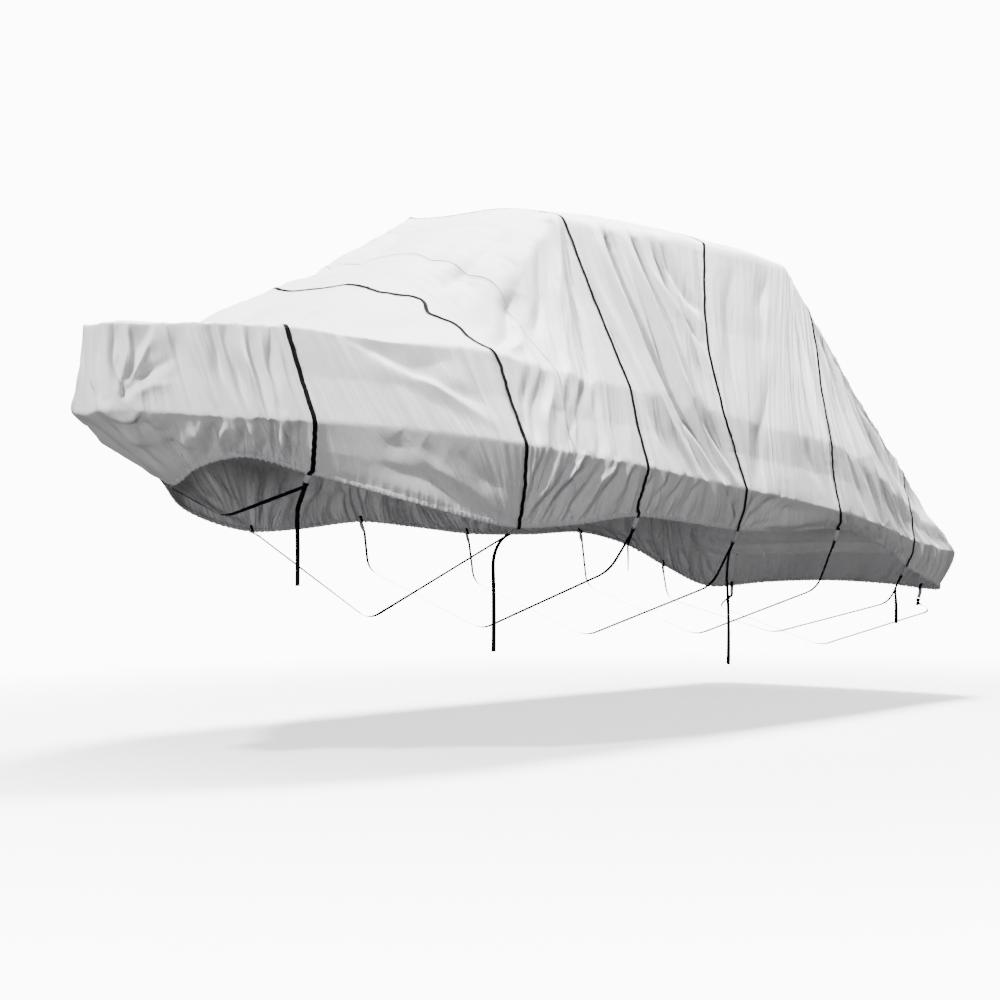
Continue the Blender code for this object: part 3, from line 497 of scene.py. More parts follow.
creases = {
    # Columns: pitch across and length along (m), share of the height, seed.
    "layers": ((0.130, 1.10, 0.60, 101), (0.060, 0.85, 0.70, 113), (0.034, 0.55, 0.34, 127)),
    "v": (0.0, 0.5, 1.0, 1.5, 2.0, 2.5, 3.0, 4.0),
    # Columns: u, then the creases' height (mm) at each v.
    "heights": (
        (0.0, 3, 3, 2, 3, 3, 2, 1, 1), (1.5, 5, 6, 4, 5, 3, 2, 1, 1), (2.5, 10, 11, 6, 6, 4, 2, 2, 1),
        (3.1, 13, 16, 7, 9, 6, 3, 2, 1), (3.9, 13, 16, 7, 8, 5, 3, 2, 1), (4.3, 5, 6, 3, 3, 3, 3, 2, 1),
        (5.2, 5, 7, 3, 3, 2, 3, 2, 1), (5.9, 5, 7, 4, 4, 3, 4, 2, 2), (6.4, 12, 19, 9, 8, 6, 8, 5, 2),
        (7.5, 12, 17, 7, 10, 9, 12, 7, 2), (8.0, 9, 12, 5, 8, 7, 10, 5, 2),
        (8.8, 11, 15, 6, 10, 11, 15, 9, 3), (9.5, 11, 15, 7, 13, 14, 15, 9, 3),
        (10.0, 10, 14, 6, 8, 7, 7, 4, 2), (10.5, 8, 10, 4, 4, 3, 3, 2, 1),
        (11.4, 7, 9, 4, 4, 4, 4, 3, 2), (12.0, 8, 10, 5, 8, 7, 7, 5, 2), (12.6, 7, 9, 6, 12, 12, 12, 7, 3),
        (13.4, 9, 12, 8, 13, 13, 11, 7, 3), (14.0, 9, 12, 8, 10, 9, 8, 5, 3), (15.0, 8, 9, 6, 7, 6, 5, 4, 2),
        (16.0, 5, 6, 4, 5, 4, 3, 2, 1), (17.0, 3, 3, 2, 3, 2, 2, 1, 1),
    ),
    "strength": 1.55,
    "mean": 0.42,                           # mean of the crest's profile, taken off it
    "round": 0.0030,                        # rounds the crests
    "tip": 0.05,                            # what the rounding takes off a crest
    "sharp": 1.9,
    "close": (0.15, 0.60),                  # lines this close, in mean gaps, have no creases, and full ones
    "crownV": (3.0, 3.5),                   # both sides share one set of creases over the crown
    "sternU": (13.8, 15.0),                 # aft of these the shared ones run straight across
    "sternStart": 14.0,
    "sternWay": (0.72, 0.0, -0.72),         # down the slope
    "sternEdge": 0.15,                      # in v, where fine creases die out at the edge of the stern's top
    "fineRate": 100,                        # strength of the fine lines for each m of the creases' height
}
strapMarks = (4.0, 6.0, 8.0, 10.0, 12.0, 14.0)
sternMark = 15.4
sternStrapTop = 1.32                        # v
allMarks = strapMarks + (sternMark,)
seamMark = 7.0
# Each strap wanders a little from its section. Columns: v, then the shift in u.
strapWander = {
    4.0: ((0.0, 0.03), (2.0, 0.04), (4.0, 0.02)),
    6.0: ((0.0, 0.0), (1.2, 0.02), (1.9, 0.05), (2.1, -0.03), (2.25, -0.06), (2.5, 0.03), (2.62, 0.0),
          (2.70, -0.16), (2.80, -0.14), (3.02, 0.0), (3.12, -0.15), (3.35, -0.28), (3.66, -0.20),
          (4.0, -0.10)),
    8.0: ((0.0, 0.02), (0.2, -0.04), (0.7, -0.01), (1.0, 0.03), (1.6, 0.03), (2.4, 0.08), (2.8, 0.05),
          (4.0, 0.0)),
    10.0: ((0.0, 0.0), (1.6, -0.01), (2.0, -0.06), (2.3, -0.14), (2.55, -0.10), (2.85, -0.02), (3.1, 0.05),
           (4.0, 0.02)),
    12.0: ((0.0, -0.03), (0.7, 0.0), (1.6, 0.02), (2.3, 0.06), (2.6, 0.11), (2.9, 0.08), (3.1, 0.03),
           (4.0, 0.0)),
    14.0: ((0.0, 0.0), (2.2, -0.01), (4.0, -0.03)),
    15.4: ((0.0, 0.0), (4.0, 0.0)),
}
strapEase = {"reach": 0.07, "parts": (-1.0, -0.5, 0.0, 0.5, 1.0), "tremble": 0.007, "pitch": 0.19,
             "crownReach": 0.4}
starboardWander = 0.5                       # straps run straighter to starboard
puckers = {
    # Beside each strap, in m.
    "height": 0.0022, "pitch": 0.075, "reach": 0.045, "flat": 0.016,
    "lean": 0.8,                            # they lean inboard as they rise
    "seed": 60,
    "pressed": (0.45, 0.020),               # a strap flattens other folds by this share, and this far
    "sternTop": 1.35, "sternFade": 0.5,     # v where the stern straps end, and how fast their puckers do
}


def strapPlace(mark, v, side):
    # Both sides of a strap meet at the crown and start from its section at the hem.
    places, shifts = zip(*strapWander[mark])
    reach, parts = strapEase["reach"], strapEase["parts"]
    shift = sum(np.interp(v + reach * part, places, shifts) for part in parts) / len(parts)
    nearCrown = np.clip((crown - v) / strapEase["crownReach"], 0, 1)
    shift = shift + strapEase["tremble"] * nearCrown * wave(v, strapEase["pitch"], int(mark * 10) + side)
    if side == starboard:
        shift = shift * (1 - (1 - starboardWander) * nearCrown)
    return mark + shift * np.minimum(1, v / reach)


def smoothStep(t):
    return t * t * (3 - 2 * t)


def eased(value, low, high):
    return smoothStep(np.clip((value - low) / (high - low), 0, 1))


# An uneven wave drifts along random knots, in phase, swing and its second harmonic. Columns: pitch of the
# drift in waves, and the knot where it starts.
waveForm = {
    "knots": 4096,
    "phase": (3.0, 100.5), "phaseSize": 2.4,
    "swing": (4.0, 900.5), "swingSize": (0.62, 0.38),       # its mean, and how much it changes
    "second": (2.0, 500.5), "secondSize": 2.0,
    "shares": (0.72, 0.28),                 # of the wave and of its second harmonic
}


def wave(s, pitch, seed):
    # A wave of uneven pitch, from -1 to 1, along s.
    count = waveForm["knots"]
    knots = np.random.default_rng(seed).uniform(-1, 1, count)

    def drift(name):
        scale, offset = waveForm[name]
        place = s / (pitch * scale) + offset
        low = np.floor(place).astype(int)
        t = smoothStep(place - low)
        return knots[low % count] * (1 - t) + knots[(low + 1) % count] * t

    phase = 2 * np.pi * s / pitch + waveForm["phaseSize"] * drift("phase")
    mean, change = waveForm["swingSize"]
    first, second = waveForm["shares"]
    harmonic = np.cos(2.0 * phase + waveForm["secondSize"] * drift("second"))
    return (mean + change * drift("swing")) * (first * np.cos(phase) + second * harmonic)


def lumps(points, pitch, seed, size=64, offset=1000.0):
    # Smooth random lumps from -1 to 1 in a lattice of the given pitch (x, y, z), which repeats after size.
    values = np.random.default_rng(seed).uniform(-1, 1, (size, size, size))
    place = points / np.array(pitch) + offset
    low = np.floor(place).astype(int)
    t = smoothStep(place - low)
    total = np.zeros(len(points))
    for corner in range(8):
        step = np.array([corner & 1, corner >> 1 & 1, corner >> 2 & 1])
        cell = (low + step) % size
        total += values[tuple(cell.T)] * np.prod(np.where(step, t, 1 - t), axis=1)
    return total


def tensionRates(sideV=1.5):
    # Cumulative distance (m) across the lines of tension, at their mean spacing, half way up the sides.
    middle = tensionLines.mean(axis=1)
    places = np.clip(middle, 0, lastSection)
    rate = np.linalg.norm(alongCover(places, np.full(len(places), sideV), port), axis=1)
    gaps = np.diff(middle)
    return gaps, np.concatenate([[0.0], np.cumsum(gaps * (rate[1:] + rate[:-1]) / 2)])


tensionGaps, tensionAcross = tensionRates()


def tensionPlace(u, v):
    # Place across the lines of tension (m), and their gap here as a share of its mean.
    band = np.clip(np.floor(v).astype(int), hem, shoulder)
    t = (v - band)[:, None]
    lines = tensionLines.T[band] * (1 - t) + tensionLines.T[band + 1] * t
    number = np.clip((lines <= u[:, None]).sum(axis=1) - 1, 0, lines.shape[1] - 2)
    index = np.arange(len(u))
    low, high = lines[index, number], lines[index, number + 1]
    share = (u - low) / np.maximum(high - low, 1e-6)
    place = np.interp(number + share, np.arange(len(tensionAcross)), tensionAcross)
    return place, (high - low) / tensionGaps[number]


def creaseDepth(u, v):
    # Height of the creases (m) here, less where the lines of tension run together.
    table = np.array(creases["heights"], float)
    columns = np.stack([np.interp(u, table[:, 0], column) for column in table[:, 1:].T], axis=1)
    place = np.interp(v, creases["v"], np.arange(len(creases["v"])))
    low = np.clip(place.astype(int), 0, len(creases["v"]) - 2)
    t, index = place - low, np.arange(len(u))
    depth = columns[index, low] * (1 - t) + columns[index, low + 1] * t
    return depth / 1000 * eased(tensionPlace(u, v)[1], *creases["close"])


def crownPlace(points, u, v):
    # Place across the crown's creases (m), which run straight across the boat over the stern.
    start, top = np.array([creases["sternStart"]]), np.array([float(crown)])
    down = (points - smoothPoint(start, top, port)) @ np.array(creases["sternWay"])
    share = eased(u, *creases["sternU"])
    return tensionPlace(u, v)[0] * (1 - share) + (tensionPlace(start, top)[0] + down) * share


def creaseHeight(points, u, v, rise, side):
    # Creases along the lines of tension, with sharp crests and round hollows.
    ownPlace = np.stack([tensionPlace(u, v)[0], np.zeros(len(u)), rise], axis=1)
    topPlace = np.stack([crownPlace(points, u, v), np.zeros(len(u)), points[:, 1]], axis=1)
    nearCrown = eased(v, *creases["crownV"])
    total = np.zeros(len(u))
    for pitch, reach, share, seed in creases["layers"]:
        for place, part, number in ((ownPlace, 1 - nearCrown, seed + side), (topPlace, nearCrown, seed)):
            value = lumps(place, (pitch, 1.0, reach), number)
            crest = np.sqrt(value**2 + creases["round"]) - creases["tip"]
            crest = creases["mean"] - creases["sharp"] * crest
            total += share * part * crest
    return creases["strength"] * creaseDepth(u, v) * total


foldsOf = {side: foldList(side) for side in (port, starboard)}
hemPlaces = np.linspace(0, lastSection, 100 * lastSection + 1)
hemLengths = {}
for side in (port, starboard):
    hemLengths[side] = runLength(smoothPoint(hemPlaces, np.full(len(hemPlaces), form["hemOut"]), side))
print("folds:", sum(len(each) for each in foldsOf.values()))


def gatherHeight(u, rise, side):
    # Height of the gathers at a distance (m) above the hem.
    s = np.interp(u, hemPlaces, hemLengths[side])
    depth, reach = (np.interp(u, gathers["u"], gathers[name]) / 1000 for name in ("depth", "reach"))
    for mark in allMarks:
        away = np.abs(s - np.interp(mark, hemPlaces, hemLengths[side]))
        depth = depth * (1 - np.exp(-((away / gathers["fadeOut"]) ** 2)))
    fine, coarse = (
        share * wave(s, gathers["pitch"] * pitches, seed + side)
        for pitches, seed, share in (gathers["fine"], gathers["coarse"])
    )
    up = np.maximum(rise, 0)
    nearShare = np.exp(-up / (gathers["fineReach"] * reach))
    farShare = np.exp(-((up / reach) ** 2)) * (1 - gathers["fineShare"] * nearShare)
    return depth * (fine * nearShare + coarse * farShare)


def relief(u, v, rise, side):
    # The cover's smooth points, its normals, the height of the cloth over them and its slide.
    points = smoothPoint(u, v, side)
    normals = outwardOf(u, v, side)
    rate = np.linalg.norm(alongCover(u, v, side), axis=1)
    small, slide = np.zeros(len(u)), np.zeros((len(u), 3))
    for fold in foldsOf[side]:
        addFold(points, normals, fold, small, slide)
    for across, upward, size, seed in crumple["layers"]:
        small += size * lumps(points, (across, across, upward), seed)
    small += creaseHeight(points, u, v, rise, side)
    ripple = wave(points[:, 2] + points[:, 1] * puckers["lean"], puckers["pitch"], puckers["seed"])
    pressed, pressedReach = puckers["pressed"]
    for mark in allMarks:
        away = np.abs(u - strapPlace(mark, v, side)) * rate
        if mark == sternMark:
            away = away + np.maximum(v - puckers["sternTop"], 0) * puckers["sternFade"]
        beside = np.exp(-away / puckers["reach"]) * (1 - np.exp(-((away / puckers["flat"]) ** 2)))
        small += puckers["height"] * beside * ripple
        small *= 1 - pressed * np.exp(-((away / pressedReach) ** 2))
    up = np.maximum(rise, 0)
    fromEnd = np.minimum(u, lastSection - u)
    nearEnd = np.minimum(1, fromEnd * form["endRate"])
    # Near the hem nothing is loose: the elastic holds it.
    hold, holdReach = gathers["hold"]
    held = 1 - hold * np.exp(-((up / holdReach) ** 2))
    height = np.interp(v, form["swellV"], form["swell"]) * np.minimum(1, fromEnd)
    height = (height + small * nearEnd) * held + gatherHeight(u, rise, side)
    height -= gathers["tuck"] * np.exp(-((up / gathers["tuckReach"]) ** 2))
    return points, normals, height, slide * (held * nearEnd)[:, None]


def coverPoint(u, v, rise, side):
    points, normals, height, slide = relief(u, v, rise, side)
    return points + normals * height[:, None] + slide


# The cloth is made in pieces that meet under the straps and the seam. Columns and rows set how fine each
# piece is, flat is the cloth (m) that it is cut from, and area (m2) is what is left of that.
cloths = {
    "nose_cloth": {"from": 0.0, "to": 4.0, "columns": 214, "rows": 92, "node": "bow_panel",
                   "flat": (2.2, 1.6), "area": 2.7},
    "bow_cloth": {"from": 4.0, "to": 7.0, "columns": 170, "rows": 158, "node": "bow_panel",
                  "flat": (2.2, 3.6), "area": 7.0},
    "fore_cloth": {"from": 7.0, "to": 10.0, "columns": 176, "rows": 236, "node": "main_panel",
                   "flat": (2.6, 6.2), "area": 12.4},
    "top_cloth": {"from": 10.0, "to": 12.0, "columns": 164, "rows": 214, "node": "main_panel",
                  "flat": (1.5, 6.2), "area": 7.9},
    "aft_cloth": {"from": 12.0, "to": 14.0, "columns": 164, "rows": 190, "node": "main_panel",
                  "flat": (1.5, 5.8), "area": 7.0},
    "stern_cloth": {"from": 14.0, "to": 17.0, "columns": 220, "rows": 125, "node": "main_panel",
                    "flat": (3.6, 1.9), "area": 3.9},
}
# Rows along the hem, in m up the cloth.
hemRows = (0.0, 0.006, 0.012, 0.018, 0.024, 0.031, 0.039, 0.048, 0.058, 0.069, 0.082, 0.096, 0.112)
guideV = np.linspace(0, crown, 161)


def columnPlaces(low, high, count, samples=400, heights=(0.5, 1.5, 3.0)):
    # Columns evenly spaced along the cloth, by its mean length at three heights.
    u = np.linspace(low, high, samples)
    lines = [smoothPoint(u, np.full(samples, v), port) for v in heights]
    steps = [np.linalg.norm(np.diff(line, axis=0), axis=1) for line in lines]
    length = np.concatenate([[0.0], np.cumsum(np.mean(steps, axis=0))])
    return np.interp(np.linspace(0, length[-1], count + 1), length, u)


def rowPlaces(u, rises, rows, side):
    # v and distance from the hem for each column and row: fixed rises first, then even steps to the crown.
    shape = len(u), len(guideV)
    grid = smoothPoint(np.repeat(u, shape[1]), np.tile(guideV, shape[0]), side).reshape(*shape, 3)
    lengths = np.cumsum(np.linalg.norm(np.diff(grid, axis=1), axis=2), axis=1)
    v, rise = [], []
    for length in lengths:
        above = np.linspace(rises[-1], length[-1], rows + 1)[1:] if rows else []
        places = np.concatenate([rises, above])
        v.append(np.interp(places, np.concatenate([[0.0], length]), guideV))
        rise.append(places)
    return np.array(v), np.array(rise)


def clothRun(u, v, rise, side):
    # Place of the cloth across and along its creases (m), then how strongly it is creased.
    onTop = v >= shoulder
    across = np.where(onTop, crownPlace(smoothPoint(u, v, side), u, v), tensionPlace(u, v)[0])
    edgeShare = 1 - eased(np.abs(v - shoulder), 0, creases["sternEdge"])
    creased = creaseDepth(u, v) * (1 - edgeShare * eased(u, *creases["sternU"]))
    return np.stack([across, rise, creased * creases["fineRate"]], axis=1)


def clothMesh(name, low, high, columns, rows):
    # On each side a fine band along the hem, with a coarser sheet above it that goes up to the crown.
    fine = columnPlaces(low, high, columns * 2)
    parts, runs = {port: [], starboard: []}, []
    for side in (port, starboard):
        for u, count, first in ((fine, 0, 0), (fine[::2], rows, len(hemRows))):
            v, rise = (each[:, first:] for each in rowPlaces(u, hemRows, count, side))
            places = np.repeat(u, v.shape[1]), v.ravel(), rise.ravel(), side
            parts[side].append(coverPoint(*places).reshape(*v.shape, 3))
            runs.append(clothRun(*places))
    middle = (parts[port][1][:, -1] + parts[starboard][1][:, -1]) / 2
    parts[port][1][:, -1] = parts[starboard][1][:, -1] = middle
    mirror = np.array([1.0, -1.0, 1.0])
    for place, column in ((0.0, 0), (float(lastSection), -1)):
        if place in (low, high):
            for ours, theirs in zip(parts[port], parts[starboard]):
                mean = (ours[column] + theirs[column] * mirror) / 2
                mean[:, 1] = 0.0
                ours[column] = theirs[column] = mean
    points, faces, start = [], [], 0
    for side in (port, starboard):
        grids = []
        for part in parts[side]:
            grids.append(start + np.arange(part.shape[0] * part.shape[1]).reshape(part.shape[:2]))
            start += grids[-1].size
            points.append(part.reshape(-1, 3))
        band, upper = grids
        made = gridQuads(band) + gridQuads(upper)
        foot, top = band[:, -1], upper[:, 0]
        for i in range(len(top) - 1):
            a, b, c = foot[2 * i:2 * i + 3]
            made += [(a, b, top[i]), (b, top[i + 1], top[i]), (b, c, top[i + 1])]
        faces += made if side == port else [face[::-1] for face in made]
    runs = np.concatenate(runs)
    return addMesh(name, np.concatenate(points), faces, weld=True, uvs=runs[:, :2], creased=runs[:, 2])


def gridQuads(index):
    corners = index[:-1, :-1], index[1:, :-1], index[1:, 1:], index[:-1, 1:]
    return [tuple(face) for face in np.stack(corners, axis=-1).reshape(-1, 4).tolist()]


def tubeFaces(index, closed=False):
    # Faces round a tube of rings, which has two caps unless it closes on itself.
    ring = np.concatenate([index, index[:, :1]], axis=1)
    if closed:
        return gridQuads(np.concatenate([ring, ring[:1]], axis=0))
    return gridQuads(ring) + [tuple(index[0].tolist()), tuple(index[-1][::-1].tolist())]


weldGap = 1e-5                              # m, points closer than this are one


def addMesh(name, points, faces, weld=False, closed=False, uvs=None, creased=None):
    mesh = bpy.data.meshes.new(name)
    mesh.from_pydata(points.tolist(), [], faces)
    if uvs is not None:
        layer = mesh.uv_layers.new(name="run")
        corners = np.empty(len(mesh.loops), dtype=np.int32)
        mesh.loops.foreach_get("vertex_index", corners)
        layer.data.foreach_set("uv", uvs.astype(np.float32)[corners].ravel())
    if creased is not None:
        layer = mesh.attributes.new("creased", "FLOAT", "POINT")
        layer.data.foreach_set("value", creased.astype(np.float32))
    work = bmesh.new()
    work.from_mesh(mesh)
    if weld:
        bmesh.ops.remove_doubles(work, verts=work.verts, dist=weldGap)
    if closed:
        bmesh.ops.recalc_face_normals(work, faces=work.faces)
    work.to_mesh(mesh)
    work.free()
    mesh.shade_smooth()
    made = bpy.data.objects.new(name, mesh)
    bpy.context.scene.collection.objects.link(made)
    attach(made, "root")
    return made


def makeCloths():
    made = {}
    for name, piece in cloths.items():
        cloth = clothMesh(name, piece["from"], piece["to"], piece["columns"], piece["rows"])
        finish(cloth, "wovenPolyester")
        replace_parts(cloth, piece["node"])
        made[name] = cloth
        area = sum(face.area for face in cloth.data.polygons)
        print(name, len(cloth.data.polygons), "faces", round(area, 2), "m2")
    return made


# The hem's casing holds the elastic. Columns: distance up from the edge and out from the cloth, in mm.
casing = {
    "outer": ((-8, 0), (-6.5, 2.6), (-1, 4.4), (6, 4.8), (13, 4.2), (19, 2.6), (22.5, 1.0)),
    "inner": ((20, -2.5), (10, -3.2), (0, -3.6), (-5.5, -2.4)),
    "step": 0.0068,                         # m between rings along the hem
    "crinkle": 0.0030,                      # m, fine crinkles of the casing itself
    "crinklePitch": 0.019,
    "seed": 71,
    "innerShare": 0.3,                      # crinkles inside, as a share of those outside
    "crinkleRate": 160,                     # how fast they change up the casing
    "edge": ((0.0024, 0.058, 81), (0.0017, 0.023, 91)),     # waves of its edge: height and pitch (m), seed
    "edgeReach": 0.03,                      # m up the cloth where they are gone
}


def makeCasing(name, low, high):
    # A flat tube that rides on the gathered edge of the cloth.
    outline = np.array(casing["outer"] + casing["inner"]) / 1000
    points, faces, start = [], [], 0
    for side in (port, starboard):
        sLow, sHigh = np.interp((low, high), hemPlaces, hemLengths[side])
        along = np.linspace(sLow, sHigh, int((sHigh - sLow) / casing["step"]) + 1)
        u = np.interp(along, hemLengths[side], hemPlaces)
        line, upward, normal = hemWays(u, side)
        crinkle = casing["crinkle"] * wave(along, casing["crinklePitch"], casing["seed"] + side)
        edgeWave = sum(size * wave(along, pitch, seed + side) for size, pitch, seed in casing["edge"])
        rings = []
        for up, out in outline:
            lift = gatherHeight(u, np.full(len(u), max(up, 0.0)), side) - gathers["tuck"]
            share = 1.0 if out > 0 else casing["innerShare"]
            bulge = crinkle * share * (0.5 + 0.5 * math.sin(up * casing["crinkleRate"]))
            rise = up + edgeWave * (1 - up / casing["edgeReach"])
            rings.append(line + upward * rise[:, None] + normal * (lift + out + bulge)[:, None])
        block = np.stack(rings, axis=1)
        index = start + np.arange(len(u) * len(outline)).reshape(-1, len(outline))
        start += index.size
        made = gridQuads(np.concatenate([index, index[:, :1]], axis=1))
        faces += made if side == port else [face[::-1] for face in made]
        for end, place in ((0, low), (-1, high)):
            if place in (0.0, float(lastSection)):
                block[end, :, 1] = 0.0
            else:
                faces.append(tuple(index[end].tolist()))
        points.append(block.reshape(-1, 3))
    tube = addMesh(name, np.concatenate(points), faces, weld=True, closed=True)
    # The casing takes the darker cloth colours, painted as shade in its gathers.
    return finish(tube, "gatheredPolyesterPaintedShade")


# Webbing is a flat band with rounded edges. Columns of its section: share of the half width, share of
# the thickness.
webbing = {
    "width": 0.025,
    "thickness": 0.0016,
    "section": ((-1.0, 0.5), (-0.94, 0.95), (-0.5, 1.05), (0.0, 1.08), (0.5, 1.05), (0.94, 0.95),
                (1.0, 0.5), (0.94, 0.05), (0.0, 0.0), (-0.94, 0.05)),
    "step": 0.014,                          # m between rings on the cloth
    "clear": 0.0012,                        # m above the cloth under it
    "overCasing": 0.0075,                   # m further out where it passes over the hem
    "casingRise": 0.034,
    "samples": 1200,                        # along a side, to find its length
    "felt": (-1.0, -0.5, 0.0, 0.5, 1.0),    # where it feels the cloth under it, across its half width
    "feltReach": 0.52,                      # which is a little past its edges
}


def bandMesh(name, centres, acrosses, normals, width, thickness):
    # A closed band along the centres, whose underside lies on them.
    section = np.array(webbing["section"])
    half = np.asarray(width, float) / 2 * np.ones(len(centres))
    block = (
        centres[:, None] + acrosses[:, None] * (section[None, :, :1] * half[:, None, None])
        + normals[:, None] * (section[None, :, 1:] * thickness)
    )
    run = np.repeat(runLength(centres)[:, None], len(section), axis=1)
    uvs = np.stack([run, section[None, :, 0] * half[:, None]], axis=-1)
    faces = tubeFaces(np.arange(run.size).reshape(run.shape))
    return addMesh(name, block.reshape(-1, 3), faces, closed=True, uvs=uvs.reshape(-1, 2))


def strapStations(mark, side, top):
    # Along one side of a sewn strap, from the hem up: centre on the cloth and way across.
    v = np.linspace(0.0, top, webbing["samples"])
    rise = runLength(smoothPoint(strapPlace(mark, v, side), v, side))
    stations = np.linspace(0, rise[-1], int(rise[-1] / webbing["step"]) + 1)
    v = np.interp(stations, rise, v)
    u = strapPlace(mark, v, side)
    across = alongCover(u, v, side)
    rate = np.linalg.norm(across, axis=1)
    heights, slides = [], []
    for share in webbing["felt"]:
        shifted = u + share * webbing["width"] * webbing["feltReach"] / rate
        _, _, height, slide = relief(np.clip(shifted, 0, lastSection), v, stations, side)
        heights.append(height)
        slides.append(slide)
    highest = np.max(heights, axis=0)
    height = np.maximum(highest, (np.roll(highest, 1) + np.roll(highest, -1)) / 2)
    height[[0, -1]] = highest[[0, -1]]
    near = np.exp(-((stations / webbing["casingRise"]) ** 4))
    lift = height + webbing["clear"] + webbing["overCasing"] * near
    normal = outwardOf(u, np.maximum(v, form["hemOut"]), side)
    return smoothPoint(u, v, side) + normal * lift[:, None] + np.mean(slides, axis=0), across


def squared(centres, acrosses):
    # Ways across and out that stand square to the run of a band.
    tangent = np.gradient(centres, axis=0)
    tangent /= np.maximum(np.linalg.norm(tangent, axis=1, keepdims=True), 1e-9)
    across = acrosses - tangent * np.einsum("ij,ij->i", acrosses, tangent)[:, None]
    across /= np.linalg.norm(across, axis=1, keepdims=True)
    return across, np.cross(tangent, across)


# Where a sewn strap turns under the hem, from inside. Columns: distance up from the edge and out from the
# cloth, in mm.
strapTurn = ((34.0, -7.0), (18.0, -7.5), (4.0, -8.0), (-7.0, -7.5), (-13.0, -4.0), (-13.5, 1.5), (-11.0, 6.0))


def halfStrap(mark, side, top=crown):
    # One side of a sewn strap, from its end inside the hem up: centre and way across.
    centre, across = strapStations(mark, side, top)
    line, upward, normal = hemWays(strapPlace(mark, np.zeros(1), side), side)
    up, out = np.array(strapTurn).T[..., None] / 1000
    end = line + upward * up + normal * (out - gathers["tuck"])
    return np.concatenate([end, centre]), np.concatenate([np.repeat(across[:1], len(end), axis=0), across])


def overTop(halves):
    # One run over the whole cover from its port and starboard halves, with its ways across and out.
    (portCentre, portAcross), (otherCentre, otherAcross) = halves
    join = (portCentre[-1] + otherCentre[-1]) / 2
    centres = np.concatenate([portCentre[:-1], [join], otherCentre[-2::-1]])
    across, normal = squared(centres, np.concatenate([portAcross, otherAcross[-2::-1]]))
    turn = 1 if normal[len(normal) // 2, 2] > 0 else -1
    return centres, across * turn, normal * turn


def sewStrap(name, node, centres, across, normal):
    strap = bandMesh(name, centres, across, normal, webbing["width"], webbing["thickness"])
    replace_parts(finish(strap, "sewnWebbing"), node)
    return strap


def makeStraps():
    made = []
    for number, mark in enumerate(strapMarks, start=1):
        run = overTop([halfStrap(mark, side) for side in (port, starboard)])
        made.append(sewStrap(f"sewn_strap_{number}", f"strap_{number}", *run))
    for side, word in sideWord.items():
        centres, across = halfStrap(sternMark, side, sternStrapTop)
        across, normal = squared(centres, across)
        outward = outwardOf(np.array([sternMark]), np.array([float(rail)]), side)[0]
        turn = 1 if normal[len(normal) * 2 // 3] @ outward > 0 else -1
        sewStrap(f"sewn_stern_strap_{word}", f"stern_strap_{word}", centres, across * turn, normal * turn)
    return made


# Colours are sRGB hex. Roughness and IOR are typical of each real material.
def linear(colour):
    values = [int(colour[place:place + 2], 16) / 255 for place in (1, 3, 5)]
    return [each / 12.92 if each <= 0.04045 else ((each + 0.055) / 1.055) ** 2.4 for each in values] + [1.0]


def addNode(tree, kind, settings=None, inputs=None):
    # Adds a node with its settings. An input is a value, a socket, or a node whose first output feeds it.
    node = tree.nodes.new("ShaderNode" + kind)
    for name, value in (settings or {}).items():
        setattr(node, name, value)
    for name, value in (inputs or {}).items():
        if isinstance(value, bpy.types.Node):
            value = value.outputs[0]
        if isinstance(value, bpy.types.NodeSocket):
            tree.links.new(value, node.inputs[name])
        else:
            node.inputs[name].default_value = value
    return node


def newMaterial(name):
    made = bpy.data.materials.new(name)
    made.use_nodes = True
    made.node_tree.nodes.clear()
    return made, made.node_tree


# Sizes of the threads, in m unless it says otherwise.
stitches = {"pitch": 0.0053, "share": 0.66, "half": 0.0005}     # 3.5 mm long, with 1.8 mm between
stitchInset = {"strap": 0.0105, "seam": 0.0035}                 # from the middle to each of the two rows
weave = {"cord": 0.0016, "rib": 0.0026, "step": 0.00065}        # ribs step by a quarter from cord to cord
fabrics = {
    # 300 g/m2 marine polyester: plain weave of 0.9 mm yarns, coated, silver grey.
    "wovenPolyester": {"pale": "#d2d1d3", "deep": "#c6c5c8", "shade": "#8d8c91", "yarn": 0.9,
                       "linePitch": 30.0, "lineReach": 420.0, "line": 0.018,
                       "creaseSize": 14.0, "crease": 0.0022, "roughness": 0.70, "sheen": 0.10},
    # The same cloth drawn up by the elastic in the casing: finer and deeper creases. Painted shade: its
    # colours are darker than the cover's.
    "gatheredPolyesterPaintedShade": {"pale": "#cbcacd", "deep": "#b7b6ba", "shade": "#85848a", "yarn": 0.9,
                          "creaseSize": 70.0, "crease": 0.0030, "roughness": 0.76, "sheen": 0.10},
    # Tabs of the same cloth, folded to several layers. Painted shade: their colours are darker than the
    # cover's.
    "foldedPolyesterPaintedShade": {"pale": "#bdbcbf", "deep": "#a9a8ac", "shade": "#7c7b80", "yarn": 0.9,
                        "creaseSize": 60.0, "crease": 0.0014, "roughness": 0.78, "sheen": 0.10},
}


